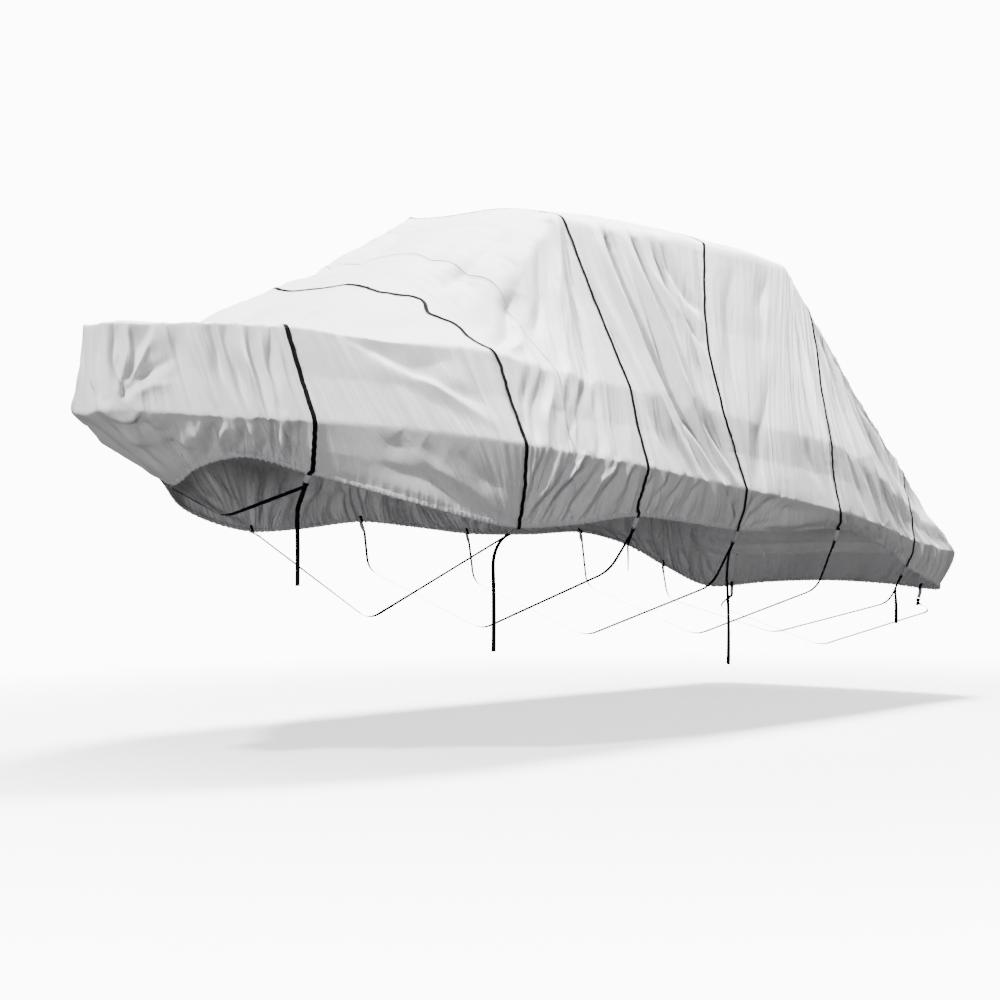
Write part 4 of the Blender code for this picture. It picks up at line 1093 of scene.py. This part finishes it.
def clothMaterial(name):
    facts = fabrics[name]
    made, tree = newMaterial(name)
    place = addNode(tree, "TexCoord").outputs["Object"]
    parts = addNode(tree, "SeparateXYZ", None, {0: place})
    # Warp runs fore and aft, weft runs up the sides and over the top: two yarns to a wave.
    turn = 2 * math.pi / (2 * facts["yarn"] / 1000)
    warp = addNode(tree, "Math", {"operation": "MULTIPLY"}, {0: parts.outputs[0], 1: turn})
    warp = addNode(tree, "Math", {"operation": "SINE"}, {0: warp})
    weft = addNode(tree, "Math", {"operation": "MULTIPLY_ADD"}, {
        0: parts.outputs[1], 1: 0.83, 2: parts.outputs[2]})
    weft = addNode(tree, "Math", {"operation": "MULTIPLY"}, {0: weft, 1: turn})
    weft = addNode(tree, "Math", {"operation": "SINE"}, {0: weft})
    yarns = addNode(tree, "Math", {"operation": "MULTIPLY"}, {0: warp, 1: weft})
    yarns = addNode(tree, "Math", {"operation": "MULTIPLY_ADD"}, {0: yarns, 1: 0.5, 2: 0.5})
    # Coating and handling leave it a little uneven, over about half a metre.
    broad = addNode(tree, "TexNoise", None, {"Vector": place, "Scale": 1.8, "Detail": 4.0})
    colour = addNode(tree, "Mix", {"data_type": "RGBA"}, {
        0: broad, 6: linear(facts["pale"]), 7: linear(facts["deep"])}).outputs[2]
    depth = addNode(tree, "Math", {"operation": "MULTIPLY"}, {0: yarns, 1: 0.10})
    colour = addNode(tree, "Mix", {"data_type": "RGBA"}, {
        0: depth, 6: colour, 7: linear(facts["shade"])}).outputs[2]
    crease = addNode(tree, "TexNoise", None, {
        "Vector": place, "Scale": facts["creaseSize"], "Detail": 4.0, "Roughness": 0.55})
    normal = addNode(tree, "Bump", None, {"Height": crease, "Distance": facts["crease"]})
    if "line" in facts:
        # Fine lines of tension: 15 mm from crest to crest and about 400 mm long, sharp where it is creased.
        run = addNode(tree, "UVMap", {"uv_map": "run"})
        run = addNode(tree, "Mapping", None, {
            "Vector": run, "Scale": (1000 / facts["linePitch"], 1000 / facts["lineReach"], 1.0)})
        line = addNode(tree, "TexNoise", None, {"Vector": run, "Scale": 1.0, "Detail": 2.0, "Roughness": 0.5})
        line = addNode(tree, "Math", {"operation": "SUBTRACT"}, {0: line, 1: 0.5})
        line = addNode(tree, "Math", {"operation": "ABSOLUTE"}, {0: line})
        creased = addNode(tree, "Attribute", {"attribute_name": "creased"}).outputs["Fac"]
        line = addNode(tree, "Math", {"operation": "MULTIPLY"}, {0: line, 1: creased})
        normal = addNode(tree, "Bump", {"invert": True}, {
            "Height": line, "Distance": facts["line"], "Strength": 1.0, "Normal": normal})
    normal = addNode(tree, "Bump", None, {
        "Height": yarns, "Distance": 0.00012, "Strength": 0.8, "Normal": normal})
    rough = addNode(tree, "Math", {"operation": "MULTIPLY_ADD"}, {
        0: yarns, 1: 0.06, 2: facts["roughness"] - 0.03})
    shader = addNode(tree, "BsdfPrincipled", None, {
        "Base Color": colour, "Roughness": rough, "IOR": 1.50, "Sheen Weight": facts["sheen"],
        "Sheen Roughness": 0.5, "Normal": normal,
    })
    addNode(tree, "OutputMaterial", None, {"Surface": shader})
    return made


def stitchRows(tree, parts, inset):
    # Two rows of lockstitch: 1 on the thread and 0 beside it.
    far = addNode(tree, "Math", {"operation": "ABSOLUTE"}, {0: parts.outputs[1]})
    row = addNode(tree, "Math", {"operation": "COMPARE"}, {0: far, 1: inset, 2: stitches["half"]})
    length = addNode(tree, "Math", {"operation": "DIVIDE"}, {0: parts.outputs[0], 1: stitches["pitch"]})
    length = addNode(tree, "Math", {"operation": "FRACT"}, {0: length})
    length = addNode(tree, "Math", {"operation": "LESS_THAN"}, {0: length, 1: stitches["share"]})
    return addNode(tree, "Math", {"operation": "MULTIPLY"}, {0: row, 1: length})


def webbingMaterial(name, sewn):
    # 25 mm polyester webbing, black: cords 1.6 mm wide run along it, crossed by ribs every 2.6 mm. A strap
    # is sewn down along both of its edges.
    made, tree = newMaterial(name)
    run = addNode(tree, "UVMap", {"uv_map": "run"})
    parts = addNode(tree, "SeparateXYZ", None, {0: run})
    cord = addNode(tree, "Math", {"operation": "MULTIPLY"}, {0: parts.outputs[1], 1: math.pi / weave["cord"]})
    cord = addNode(tree, "Math", {"operation": "SINE"}, {0: cord})
    shift = addNode(tree, "Math", {"operation": "SIGN"}, {0: cord})
    shift = addNode(tree, "Math", {"operation": "MULTIPLY_ADD"}, {
        0: shift, 1: weave["step"], 2: parts.outputs[0]})
    rib = addNode(tree, "Math", {"operation": "MULTIPLY"}, {0: shift, 1: 2 * math.pi / weave["rib"]})
    rib = addNode(tree, "Math", {"operation": "SINE"}, {0: rib})
    cord = addNode(tree, "Math", {"operation": "ABSOLUTE"}, {0: cord})
    height = addNode(tree, "Math", {"operation": "MULTIPLY_ADD"}, {0: rib, 1: 0.5, 2: cord})
    worn = addNode(tree, "TexNoise", None, {"Vector": run, "Scale": 30.0, "Detail": 3.0})
    colour = addNode(tree, "Mix", {"data_type": "RGBA"}, {
        0: worn, 6: linear("#040404"), 7: linear("#0b0b0c")}).outputs[2]
    if sewn:
        stitch = stitchRows(tree, parts, stitchInset["strap"])
        colour = addNode(tree, "Mix", {"data_type": "RGBA"}, {
            0: stitch, 6: colour, 7: linear("#1c1c1f")}).outputs[2]
        height = addNode(tree, "Math", {"operation": "MULTIPLY_ADD"}, {0: stitch, 1: 2.0, 2: height})
    rough = addNode(tree, "Math", {"operation": "MULTIPLY_ADD"}, {0: worn, 1: 0.12, 2: 0.68})
    normal = addNode(tree, "Bump", None, {"Height": height, "Distance": 0.0003})
    shader = addNode(tree, "BsdfPrincipled", None, {
        "Base Color": colour, "Roughness": rough, "IOR": 1.45, "Specular IOR Level": 0.06, "Normal": normal,
    })
    addNode(tree, "OutputMaterial", None, {"Surface": shader})
    return made


def seamMaterial():
    # Felled seam of the cover's own cloth, pressed flat, with two rows of grey thread. It takes the darker
    # colours of the gathered cloth: painted shadow, for a thin dark line along the seam.
    facts = fabrics["gatheredPolyesterPaintedShade"]
    made, tree = newMaterial("felledSeam")
    run = addNode(tree, "UVMap", {"uv_map": "run"})
    parts = addNode(tree, "SeparateXYZ", None, {0: run})
    pucker = addNode(tree, "TexNoise", None, {"Vector": run, "Scale": 90.0, "Detail": 3.0})
    stitch = stitchRows(tree, parts, stitchInset["seam"])
    colour = addNode(tree, "Mix", {"data_type": "RGBA"}, {
        0: pucker, 6: linear(facts["pale"]), 7: linear(facts["deep"])}).outputs[2]
    colour = addNode(tree, "Mix", {"data_type": "RGBA"}, {
        0: stitch, 6: colour, 7: linear("#8f8e93")}).outputs[2]
    height = addNode(tree, "Math", {"operation": "MULTIPLY_ADD"}, {0: stitch, 1: 0.25, 2: pucker})
    normal = addNode(tree, "Bump", None, {"Height": height, "Distance": 0.002})
    shader = addNode(tree, "BsdfPrincipled", None, {
        "Base Color": colour, "Roughness": facts["roughness"], "IOR": 1.50, "Sheen Weight": facts["sheen"],
        "Normal": normal,
    })
    addNode(tree, "OutputMaterial", None, {"Surface": shader})
    return made


def acetalMaterial():
    # Moulded black acetal with a fine spark-eroded finish, rubbed smoother in places.
    made, tree = newMaterial("mouldedAcetal")
    place = addNode(tree, "TexCoord").outputs["Object"]
    grain = addNode(tree, "TexNoise", None, {"Vector": place, "Scale": 2600.0, "Detail": 2.0})
    rubbed = addNode(tree, "TexNoise", None, {"Vector": place, "Scale": 70.0, "Detail": 3.0})
    colour = addNode(tree, "Mix", {"data_type": "RGBA"}, {
        0: rubbed, 6: linear("#111113"), 7: linear("#1c1c1f")}).outputs[2]
    rough = addNode(tree, "Math", {"operation": "MULTIPLY_ADD"}, {0: rubbed, 1: 0.18, 2: 0.30})
    normal = addNode(tree, "Bump", None, {"Height": grain, "Distance": 0.00006})
    shader = addNode(tree, "BsdfPrincipled", None, {
        "Base Color": colour, "Roughness": rough, "IOR": 1.48, "Normal": normal})
    addNode(tree, "OutputMaterial", None, {"Surface": shader})
    return made


materials = {name: clothMaterial(name) for name in fabrics}
materials["wovenWebbing"] = webbingMaterial("wovenWebbing", False)
materials["sewnWebbing"] = webbingMaterial("sewnWebbing", True)
materials["felledSeam"] = seamMaterial()
materials["mouldedAcetal"] = acetalMaterial()
print("materials")


def finish(piece, materialName):
    piece.data.materials.clear()
    piece.data.materials.append(materials[materialName])
    return piece


# Ties under the hull, one below each strap: mark, chine (half breadth, z) and keel (x, z). The first
# two run straight to the stem. sway leans the tab along the hem, and twist turns it, in degrees.
ties = {
    1: {"mark": 4.0, "chine": None, "keel": (-3.44, -2.10), "sway": -4, "twist": 24},
    2: {"mark": 6.0, "chine": None, "keel": (-2.32, -2.69), "sway": -3, "twist": -14},
    3: {"mark": 8.0, "chine": (1.02, -2.40), "keel": (-1.30, -2.78), "sway": -3, "twist": 18},
    4: {"mark": 10.0, "chine": (1.03, -2.50), "keel": (-0.20, -2.86), "sway": 2, "twist": -8},
    5: {"mark": 12.0, "chine": (1.03, -2.54), "keel": (1.15, -2.90), "sway": 0, "twist": 34},
    6: {"mark": 14.0, "chine": (1.02, -2.66), "keel": (2.25, -2.92), "sway": -2, "twist": -10},
    7: {"mark": 15.4, "chine": (1.00, -2.74), "keel": (2.99, -3.05), "sway": -3, "twist": 12},
}
# Free end of a tie: run back along the tie, length that hangs, sway aft, sway outboard, turn in degrees.
looseEnds = {
    1: (0.18, 0.44, 0.03, 0.03, 20),
    2: (0.03, 0.66, 0.04, 0.05, 35),
    3: (0.06, 0.17, -0.03, 0.04, -25),
    4: (0.03, 0.74, 0.12, 0.06, 40),
    6: (0.06, 0.28, 0.05, 0.04, 80),
}
tieForm = {
    "drop": 0.006,                          # m from the hem's edge to the top of a tab
    "tab": 0.070,
    "slider": 0.034,
    "gap": 0.0003,
    "exit": 0.010,                          # m of straight webbing at each end
    "inside": 0.004,                        # m from the cloth in to the tab
    "bend": 0.09,                           # m, reach of the bend round a chine and the keel
    "bendShare": 0.45,                      # of the straight run beside it, at the most
    "chineShare": 0.40,                     # part of the run to a chine in which the webbing doesn't turn
    "bendSteps": 8,
    "keelWay": (0.95, 0.0, -0.31),          # fore and aft under the hull, whose bottom rises to the bow
    "layer": 0.00225,                       # m from the slider's middle to the webbing in its back or front
    "fineStep": 0.012,
    "step": 0.035,
    "leastStep": 0.004,
    "fineReach": 0.35,
    "looseStep": 0.05,
    "looseLeast": 6,                        # steps
    "looseFine": 0.010,
    "looseSway": (0.2, 0.3),                # how a loose end's sway starts and changes down its length
    "looseHang": 3,                         # it hangs straight down past 1 / looseHang of its length
    "looseTurn": 1.2,                       # power of its turn
}


def hemFrame(mark, target, side):
    # Top of a tab, and its ways down, along the hem and outboard.
    u, v = np.array([float(mark)]), np.array([0.0])
    outward = Vector(outwardOf(u, v + form["hemOut"], side)[0])
    place = Vector(smoothPoint(u, v, side)[0]) - outward * tieForm["inside"]
    flat = Vector(alongCover(u, v, side)[0]).normalized()
    down = target - place
    down = (down - flat * down.dot(flat)).normalized()
    outboard = down.cross(flat)
    if outboard.dot(outward) < 0:
        outboard.negate()
    return place + down * tieForm["drop"], down, flat, outboard


def between(stations, places, values):
    # Values at the stations, changing evenly between those given at the places.
    values = np.array(values)
    return np.stack([np.interp(stations, places, values[:, axis]) for axis in range(3)], axis=1)


def roundedRoute(corners):
    # Straight runs whose corners are rounded; points are closer together near both ends.
    route = [corners[0]]
    for before, corner, after in zip(corners[:-2], corners[1:-1], corners[2:]):
        into, out = corner - before, after - corner
        share = tieForm["bendShare"]
        reach = min(tieForm["bend"], into.length * share, out.length * share)
        start, end = corner - into.normalized() * reach, corner + out.normalized() * reach
        for part in range(tieForm["bendSteps"] + 1):
            t = part / tieForm["bendSteps"]
            route.append(start * (1 - t) ** 2 + corner * 2 * t * (1 - t) + end * t**2)
    points = np.array(route + [corners[-1]])
    length = runLength(points)
    whole, fine = length[-1], tieForm["fineReach"]
    ends = np.arange(0, fine, tieForm["fineStep"])
    middle = np.linspace(fine, whole - fine, int(whole / tieForm["step"]))
    bends = length[(length > fine) & (length < whole - fine)]
    stations = np.unique(np.round(np.concatenate([ends, middle, whole - ends[::-1], bends]), 4))
    stations = stations[np.concatenate([[True], np.diff(stations) > tieForm["leastStep"]])]
    return between(stations, length, points), stations


def makeTie(number):
    tie = ties[number]
    keelX, keelZ = tie["keel"]
    keel = Vector((keelX, 0.0, keelZ))
    ends, frames = {}, {}
    for side in (port, starboard):
        chine = keel if tie["chine"] is None else Vector((keelX, side * tie["chine"][0], tie["chine"][1]))
        start, down, _, outboard = frames[side] = hemFrame(tie["mark"], chine, side)
        end = start + down * (tieForm["tab"] + tieForm["gap"])
        if side == port:
            end += down * (tieForm["slider"] + tieForm["gap"])
            front = end + outboard * tieForm["layer"]
            end = end - outboard * tieForm["layer"]
        ends[side] = [end, end + down * tieForm["exit"]] + ([] if tie["chine"] is None else [chine])
    route, stations = roundedRoute(ends[port] + [keel] + ends[starboard][::-1])
    whole, keelWay = stations[-1], tieForm["keelWay"]
    portFlat, starboardFlat = tuple(frames[port][2]), tuple(frames[starboard][2])
    if tie["chine"] is None:
        places = (0.0, whole / 4, whole / 2, whole * 3 / 4, whole)
        ways = (portFlat, portFlat, keelWay, starboardFlat, starboardFlat)
    else:
        toChine = [(ends[side][2] - ends[side][0]).length for side in (port, starboard)]
        reach = [each - min(tieForm["bend"], each * tieForm["chineShare"]) for each in toChine]
        places = (0.0, tieForm["exit"], reach[0], whole - reach[1], whole - tieForm["exit"], whole)
        ways = (portFlat, portFlat, keelWay, keelWay, starboardFlat, starboardFlat)
    strap = layWebbing(f"tie_{number}", f"under_strap_{number}", route, between(stations, places, ways))
    if number in looseEnds:
        makeLooseEnd(number, front, frames[port][1], frames[port][2])
    return frames


def layWebbing(name, node, route, ways):
    # Webbing whose middle follows the route.
    across, normal = squared(route, ways)
    under = route - normal * (webbing["thickness"] / 2)
    strap = bandMesh(name, under, across, normal, webbing["width"], webbing["thickness"])
    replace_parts(finish(strap, "wovenWebbing"), node)
    return strap


def makeLooseEnd(number, start, down, flat):
    run, length, aft, out, turn = looseEnds[number]
    coarse = [start, start + down * (tieForm["exit"] + run)]
    steps = max(tieForm["looseLeast"], round(length / tieForm["looseStep"]))
    sway = Vector((aft, port * out, 0.0)) / length
    atStart, change = tieForm["looseSway"]
    for step in range(1, steps + 1):
        t = step / steps
        lean = down.lerp(Vector((0, 0, -1)), min(1.0, t * tieForm["looseHang"])).normalized()
        drift = sway * (atStart + change * math.cos(math.pi * t))
        coarse.append(coarse[-1] + (lean + drift).normalized() * (length / steps))
    route = smoothLine(np.array(coarse), tieForm["looseFine"])
    turned = math.radians(turn) * np.linspace(0, 1, len(route)) ** tieForm["looseTurn"]
    fore = np.array(flat)
    beside = np.cross(np.gradient(route, axis=0), fore)
    beside /= np.linalg.norm(beside, axis=1, keepdims=True)
    ways = fore * np.cos(turned)[:, None] + beside * np.sin(turned)[:, None]
    end = layWebbing(f"loose_tie_end_{number}", f"loose_end_{number}", route, ways)


def smoothLine(points, step, parts=12):
    # A smooth curve through the points, in even steps.
    padded = np.concatenate([2 * points[:1] - points[1:2], points, 2 * points[-1:] - points[-2:-1]])
    fine = []
    for a, b, c, d in zip(padded[:-3], padded[1:-2], padded[2:-1], padded[3:]):
        for t in np.linspace(0, 1, parts, endpoint=False):
            fine.append(0.5 * (2 * b + (c - a) * t + (2 * a - 5 * b + 4 * c - d) * t**2
                               + (3 * b - a - 3 * c + d) * t**3))
    fine = np.array(fine + [points[-1]])
    length = runLength(fine)
    stations = np.linspace(0, length[-1], max(2, int(length[-1] / step)) + 1)
    return between(stations, length, fine)


tieFrames = {number: makeTie(number) for number in ties}
print("ties")


# A tab is a loop of cloth through the slider. Columns: distance down from the hem and outboard, in mm,
# and its width there.
tabLoop = (
    (-14, -5.0, 30), (-4, -2.5, 30), (8, 2.0, 30), (24, 5.0, 29), (42, 5.0, 28), (58, 3.6, 27), (68, 3.0, 26),
    (73.5, 2.6, 26), (76, 0.0, 26), (73.5, -2.6, 26), (66, -3.2, 26), (50, -4.0, 27), (30, -4.6, 28),
    (10, -4.8, 29), (-12, -7.0, 30),
)
tabForm = {"thickness": 0.0014, "step": 0.004, "starboardTwist": -0.6}


def frameOf(number, side):
    # Top of a tab and its ways down, along the hem and outboard.
    return (np.array(each) for each in tieFrames[number][side])


def makeTab(number, side):
    start, down, flat, outboard = frameOf(number, side)
    tie = ties[number]
    path = smoothLine(np.array(tabLoop, float) / 1000, tabForm["step"])
    along, out, width = path.T[..., None]
    middle = np.sin(np.pi * np.clip(along / tieForm["tab"], 0, 1))
    turn = math.radians(tie["twist"]) * middle * (1.0 if side == port else tabForm["starboardTwist"])
    outWay = outboard * np.cos(turn) - flat * np.sin(turn)
    centres = start + down * along + flat * (tie["sway"] / 1000 * middle) + outWay * out
    across, normal = squared(centres, flat * np.cos(turn) + outboard * np.sin(turn))
    word = sideWord[side]
    tab = bandMesh(
        f"cloth_tab_{number}_{word}", centres, across, normal, width[:, 0], tabForm["thickness"])
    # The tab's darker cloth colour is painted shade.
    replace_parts(finish(tab, "foldedPolyesterPaintedShade"), f"tab_{number}_{word}")


def tubeMesh(points, acrosses, ups, halfWidth, halfThickness, closed, power=2.6, count=14):
    # Rounded bar along the points, for the frame and bar of a slider.
    angle = np.linspace(0, 2 * np.pi, count, endpoint=False)
    x, y = (
        np.sign(each) * np.abs(each) ** (2 / power) * half
        for each, half in ((np.cos(angle), halfWidth), (np.sin(angle), halfThickness))
    )
    block = points[:, None] + acrosses[:, None] * x[None, :, None] + ups[:, None] * y[None, :, None]
    return block.reshape(-1, 3), tubeFaces(np.arange(len(points) * count).reshape(-1, count), closed)


# A slider is a frame with a bar across its middle, in mm: half width and length over its middle line.
slider = {"half": 16.2, "length": 31.0, "corner": 5.0, "rail": 2.0, "thick": 3.0, "bar": 2.3,
          "cornerSteps": 5, "barPoints": 9}
# The webbing in a slider goes up its back, over its bar and down its front. Columns: distance down (m)
# and outboard (mm). The first and the last two are measured from its foot.
inSlider = {
    "back": ((0.004, -2.25), (-0.004, -2.25)),
    "bar": ((0.024, -3.2), (0.0165, -3.4), (0.0125, -1.8), (0.0125, 1.8), (0.0165, 3.6), (0.024, 3.4)),
    "front": ((-0.004, 2.6), (0.002, 2.25)),
    "width": 0.0248, "thickness": 0.0014, "step": 0.0025,
    "tail": 0.030,                          # m that hangs from a slider without a loose end
}


def makeSlider(number):
    start, down, flat, outboard = frameOf(number, port)
    origin = start + down * (tieForm["tab"] + tieForm["gap"])
    half, length, corner, width, thick, bar = (
        slider[each] / 1000 for each in ("half", "length", "corner", "rail", "thick", "bar"))
    right, left, top, foot = half - corner, corner - half, width + corner, length - corner
    outline, ways = [], []
    for x, y, first in ((right, top, -90), (right, foot, 0), (left, foot, 90), (left, top, 180)):
        for step in range(slider["cornerSteps"] + 1):
            turn = math.radians(first + step * 90 / slider["cornerSteps"])
            outline.append((x + corner * math.cos(turn), y + corner * math.sin(turn)))
            ways.append((math.cos(turn), math.sin(turn)))
    outline, ways = np.array(outline), np.array(ways)
    points = origin + flat * outline[:, :1] + down * outline[:, 1:]
    acrosses = flat * ways[:, :1] + down * ways[:, 1:]
    count = slider["barPoints"]
    verts, faces = tubeMesh(points, acrosses, np.tile(outboard, (len(points), 1)), width, thick, True)
    middle = origin + flat * np.linspace(-half, half, count)[:, None] + down * (length + width) / 2
    barVerts, barFaces = tubeMesh(
        middle, np.tile(down, (count, 1)), np.tile(outboard, (count, 1)), bar, bar, False)
    faces += [tuple(k + len(verts) for k in face) for face in barFaces]
    made = addMesh(f"slider_{number}", np.concatenate([verts, barVerts]), faces, closed=True)
    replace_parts(finish(made, "mouldedAcetal"), f"buckle_{number}")


def makeInSlider(number):
    start, down, flat, outboard = frameOf(number, port)
    origin = start + down * (tieForm["tab"] + tieForm["gap"])
    foot = tieForm["slider"] + tieForm["gap"]
    tail = 0.0 if number in looseEnds else inSlider["tail"]
    (back, backOut), (backUp, backUpOut) = inSlider["back"]
    (frontUp, frontUpOut), (front, frontOut) = inSlider["front"]
    outline = np.array([
        (foot + tail + back, backOut), (foot + backUp, backUpOut), *inSlider["bar"],
        (foot + frontUp, frontUpOut), (foot + tail + front, frontOut),
    ])
    outline = np.stack([outline[:, 0], outline[:, 1] / 1000, np.zeros(len(outline))], axis=1)
    path = smoothLine(outline, inSlider["step"])
    centres = origin + down * path[:, :1] + outboard * path[:, 1:2]
    across, normal = squared(centres, np.tile(flat, (len(centres), 1)))
    under = centres - normal * (inSlider["thickness"] / 2)
    band = bandMesh(
        f"tie_in_slider_{number}", under, across, normal, inSlider["width"], inSlider["thickness"])
    finish(band, "wovenWebbing")


for number in ties:
    makeTab(number, port)
    makeTab(number, starboard)
    makeSlider(number)
    makeInSlider(number)
print("tabs and sliders")
cover = makeCloths()
print("cloths")
casings = [makeCasing("bow_hem", 0.0, 7.0), makeCasing("main_hem", 7.0, 17.0)]
straps = makeStraps()
print("straps")


# Felled seam across the cover, under its fold: a welt 14 mm wide with two rows of stitches.
seam = {"width": 0.014, "height": 0.0022, "step": 0.012, "start": 0.02, "samples": 1500, "clear": 0.0006}


def makeSeam():
    halves = []
    for side in (port, starboard):
        v = np.linspace(seam["start"], crown, seam["samples"])
        rise = runLength(smoothPoint(np.full(len(v), seamMark), v, side))
        stations = np.linspace(seam["start"], rise[-1], int(rise[-1] / seam["step"]))
        v = np.interp(stations, rise, v)
        u = np.full(len(v), seamMark)
        centre = coverPoint(u, v, stations, side) + outwardOf(u, v, side) * seam["clear"]
        halves.append((centre, alongCover(u, v, side)))
    welt = bandMesh("seam_welt", *overTop(halves), seam["width"], seam["height"])
    return finish(welt, "felledSeam")


welt = makeSeam()


# Pale floor and backdrop. They only show, and the room's even light comes from the world.
stage = {
    "floorHeight": -3.44,
    "floorRadius": 14.0,
    "floorCentre": (-0.5, 0.0),
    "fadeSize": (9.5, 8.0),                 # m, half axes of the ellipse where the floor has faded out
    "fadeStart": 0.30,                      # share of it where the fade starts
    "floorGlow": 1.6,
    "backdropRadius": 80.0,
    "backdropGlow": 12.0,
    "sides": (96, 32, 16),                  # round the floor, and round and up the backdrop
    "roomLight": 0.19,
}


def addStage(name, work, place, material):
    mesh = bpy.data.meshes.new(name)
    work.to_mesh(mesh)
    work.free()
    mesh.transform(Matrix.Translation(place))
    mesh.materials.append(material)
    made = bpy.data.objects.new(name, mesh)
    made.visible_diffuse = made.visible_glossy = made.visible_transmission = made.visible_shadow = False
    bpy.context.scene.collection.objects.link(made)


def makeStage():
    floor, tree = newMaterial("paintedFloor")
    place = addNode(tree, "TexCoord").outputs["Object"]
    sizeX, sizeY = stage["fadeSize"]
    place = addNode(tree, "Mapping", None, {"Vector": place, "Scale": (1 / sizeX, 1 / sizeY, 0.0)})
    away = addNode(tree, "VectorMath", {"operation": "LENGTH"}, {0: place}).outputs["Value"]
    fade = addNode(tree, "MapRange", {"interpolation_type": "SMOOTHSTEP"}, {
        "Value": away, "From Min": stage["fadeStart"], "From Max": 1.0})
    paint = addNode(tree, "BsdfDiffuse", None, {"Color": linear("#f3f3f3")})
    glow = addNode(tree, "Emission", None, {"Strength": stage["floorGlow"]})
    lit = addNode(tree, "AddShader", None, {0: paint, 1: glow})
    clear = addNode(tree, "BsdfTransparent")
    shader = addNode(tree, "MixShader", None, {0: fade, 1: lit, 2: clear})
    addNode(tree, "OutputMaterial", None, {"Surface": shader})
    floorSides, roundBackdrop, upBackdrop = stage["sides"]
    work = bmesh.new()
    bmesh.ops.create_circle(work, cap_ends=True, segments=floorSides, radius=stage["floorRadius"])
    addStage("floor", work, (*stage["floorCentre"], stage["floorHeight"]), floor)
    paper, tree = newMaterial("paperBackdrop")
    glow = addNode(tree, "Emission", None, {"Strength": stage["backdropGlow"]})
    addNode(tree, "OutputMaterial", None, {"Surface": glow})
    work = bmesh.new()
    bmesh.ops.create_uvsphere(
        work, u_segments=roundBackdrop, v_segments=upBackdrop, radius=stage["backdropRadius"])
    addStage("backdrop", work, (0.0, 0.0, 0.0), paper)


lights = {
    # Columns: place, aim, size (m) and power (W).
    "overhead": ((0.5, -0.5, 8.0), (-0.3, 0.0, -0.5), 3.0, 7500.0),
    "key": ((-10.0, -1.6, 5.5), (-1.0, -0.8, -1.2), 0.8, 2600.0),
    "low": ((-13.0, -6.5, -2.3), (-1.0, -1.1, -1.8), 1.2, 560.0),
    "side": ((4.0, -10.0, 4.0), (-1.0, -1.1, -1.3), 2.0, 250.0),
}


def makeLights():
    for name, (place, aim, size, power) in lights.items():
        data = bpy.data.lights.new(name, "AREA")
        data.shape = "DISK"
        data.size = size
        data.energy = power
        lamp = bpy.data.objects.new(name, data)
        lamp.location = place
        lamp.rotation_euler = (Vector(aim) - Vector(place)).to_track_quat("-Z", "Y").to_euler()
        bpy.context.scene.collection.objects.link(lamp)
    world = bpy.data.worlds.new("room")
    world.use_nodes = True
    background = world.node_tree.nodes["Background"]
    background.inputs["Color"].default_value = (1.0, 1.0, 1.0, 1.0)
    background.inputs["Strength"].default_value = stage["roomLight"]
    bpy.context.scene.world = world


makeStage()
makeLights()
print("stage")
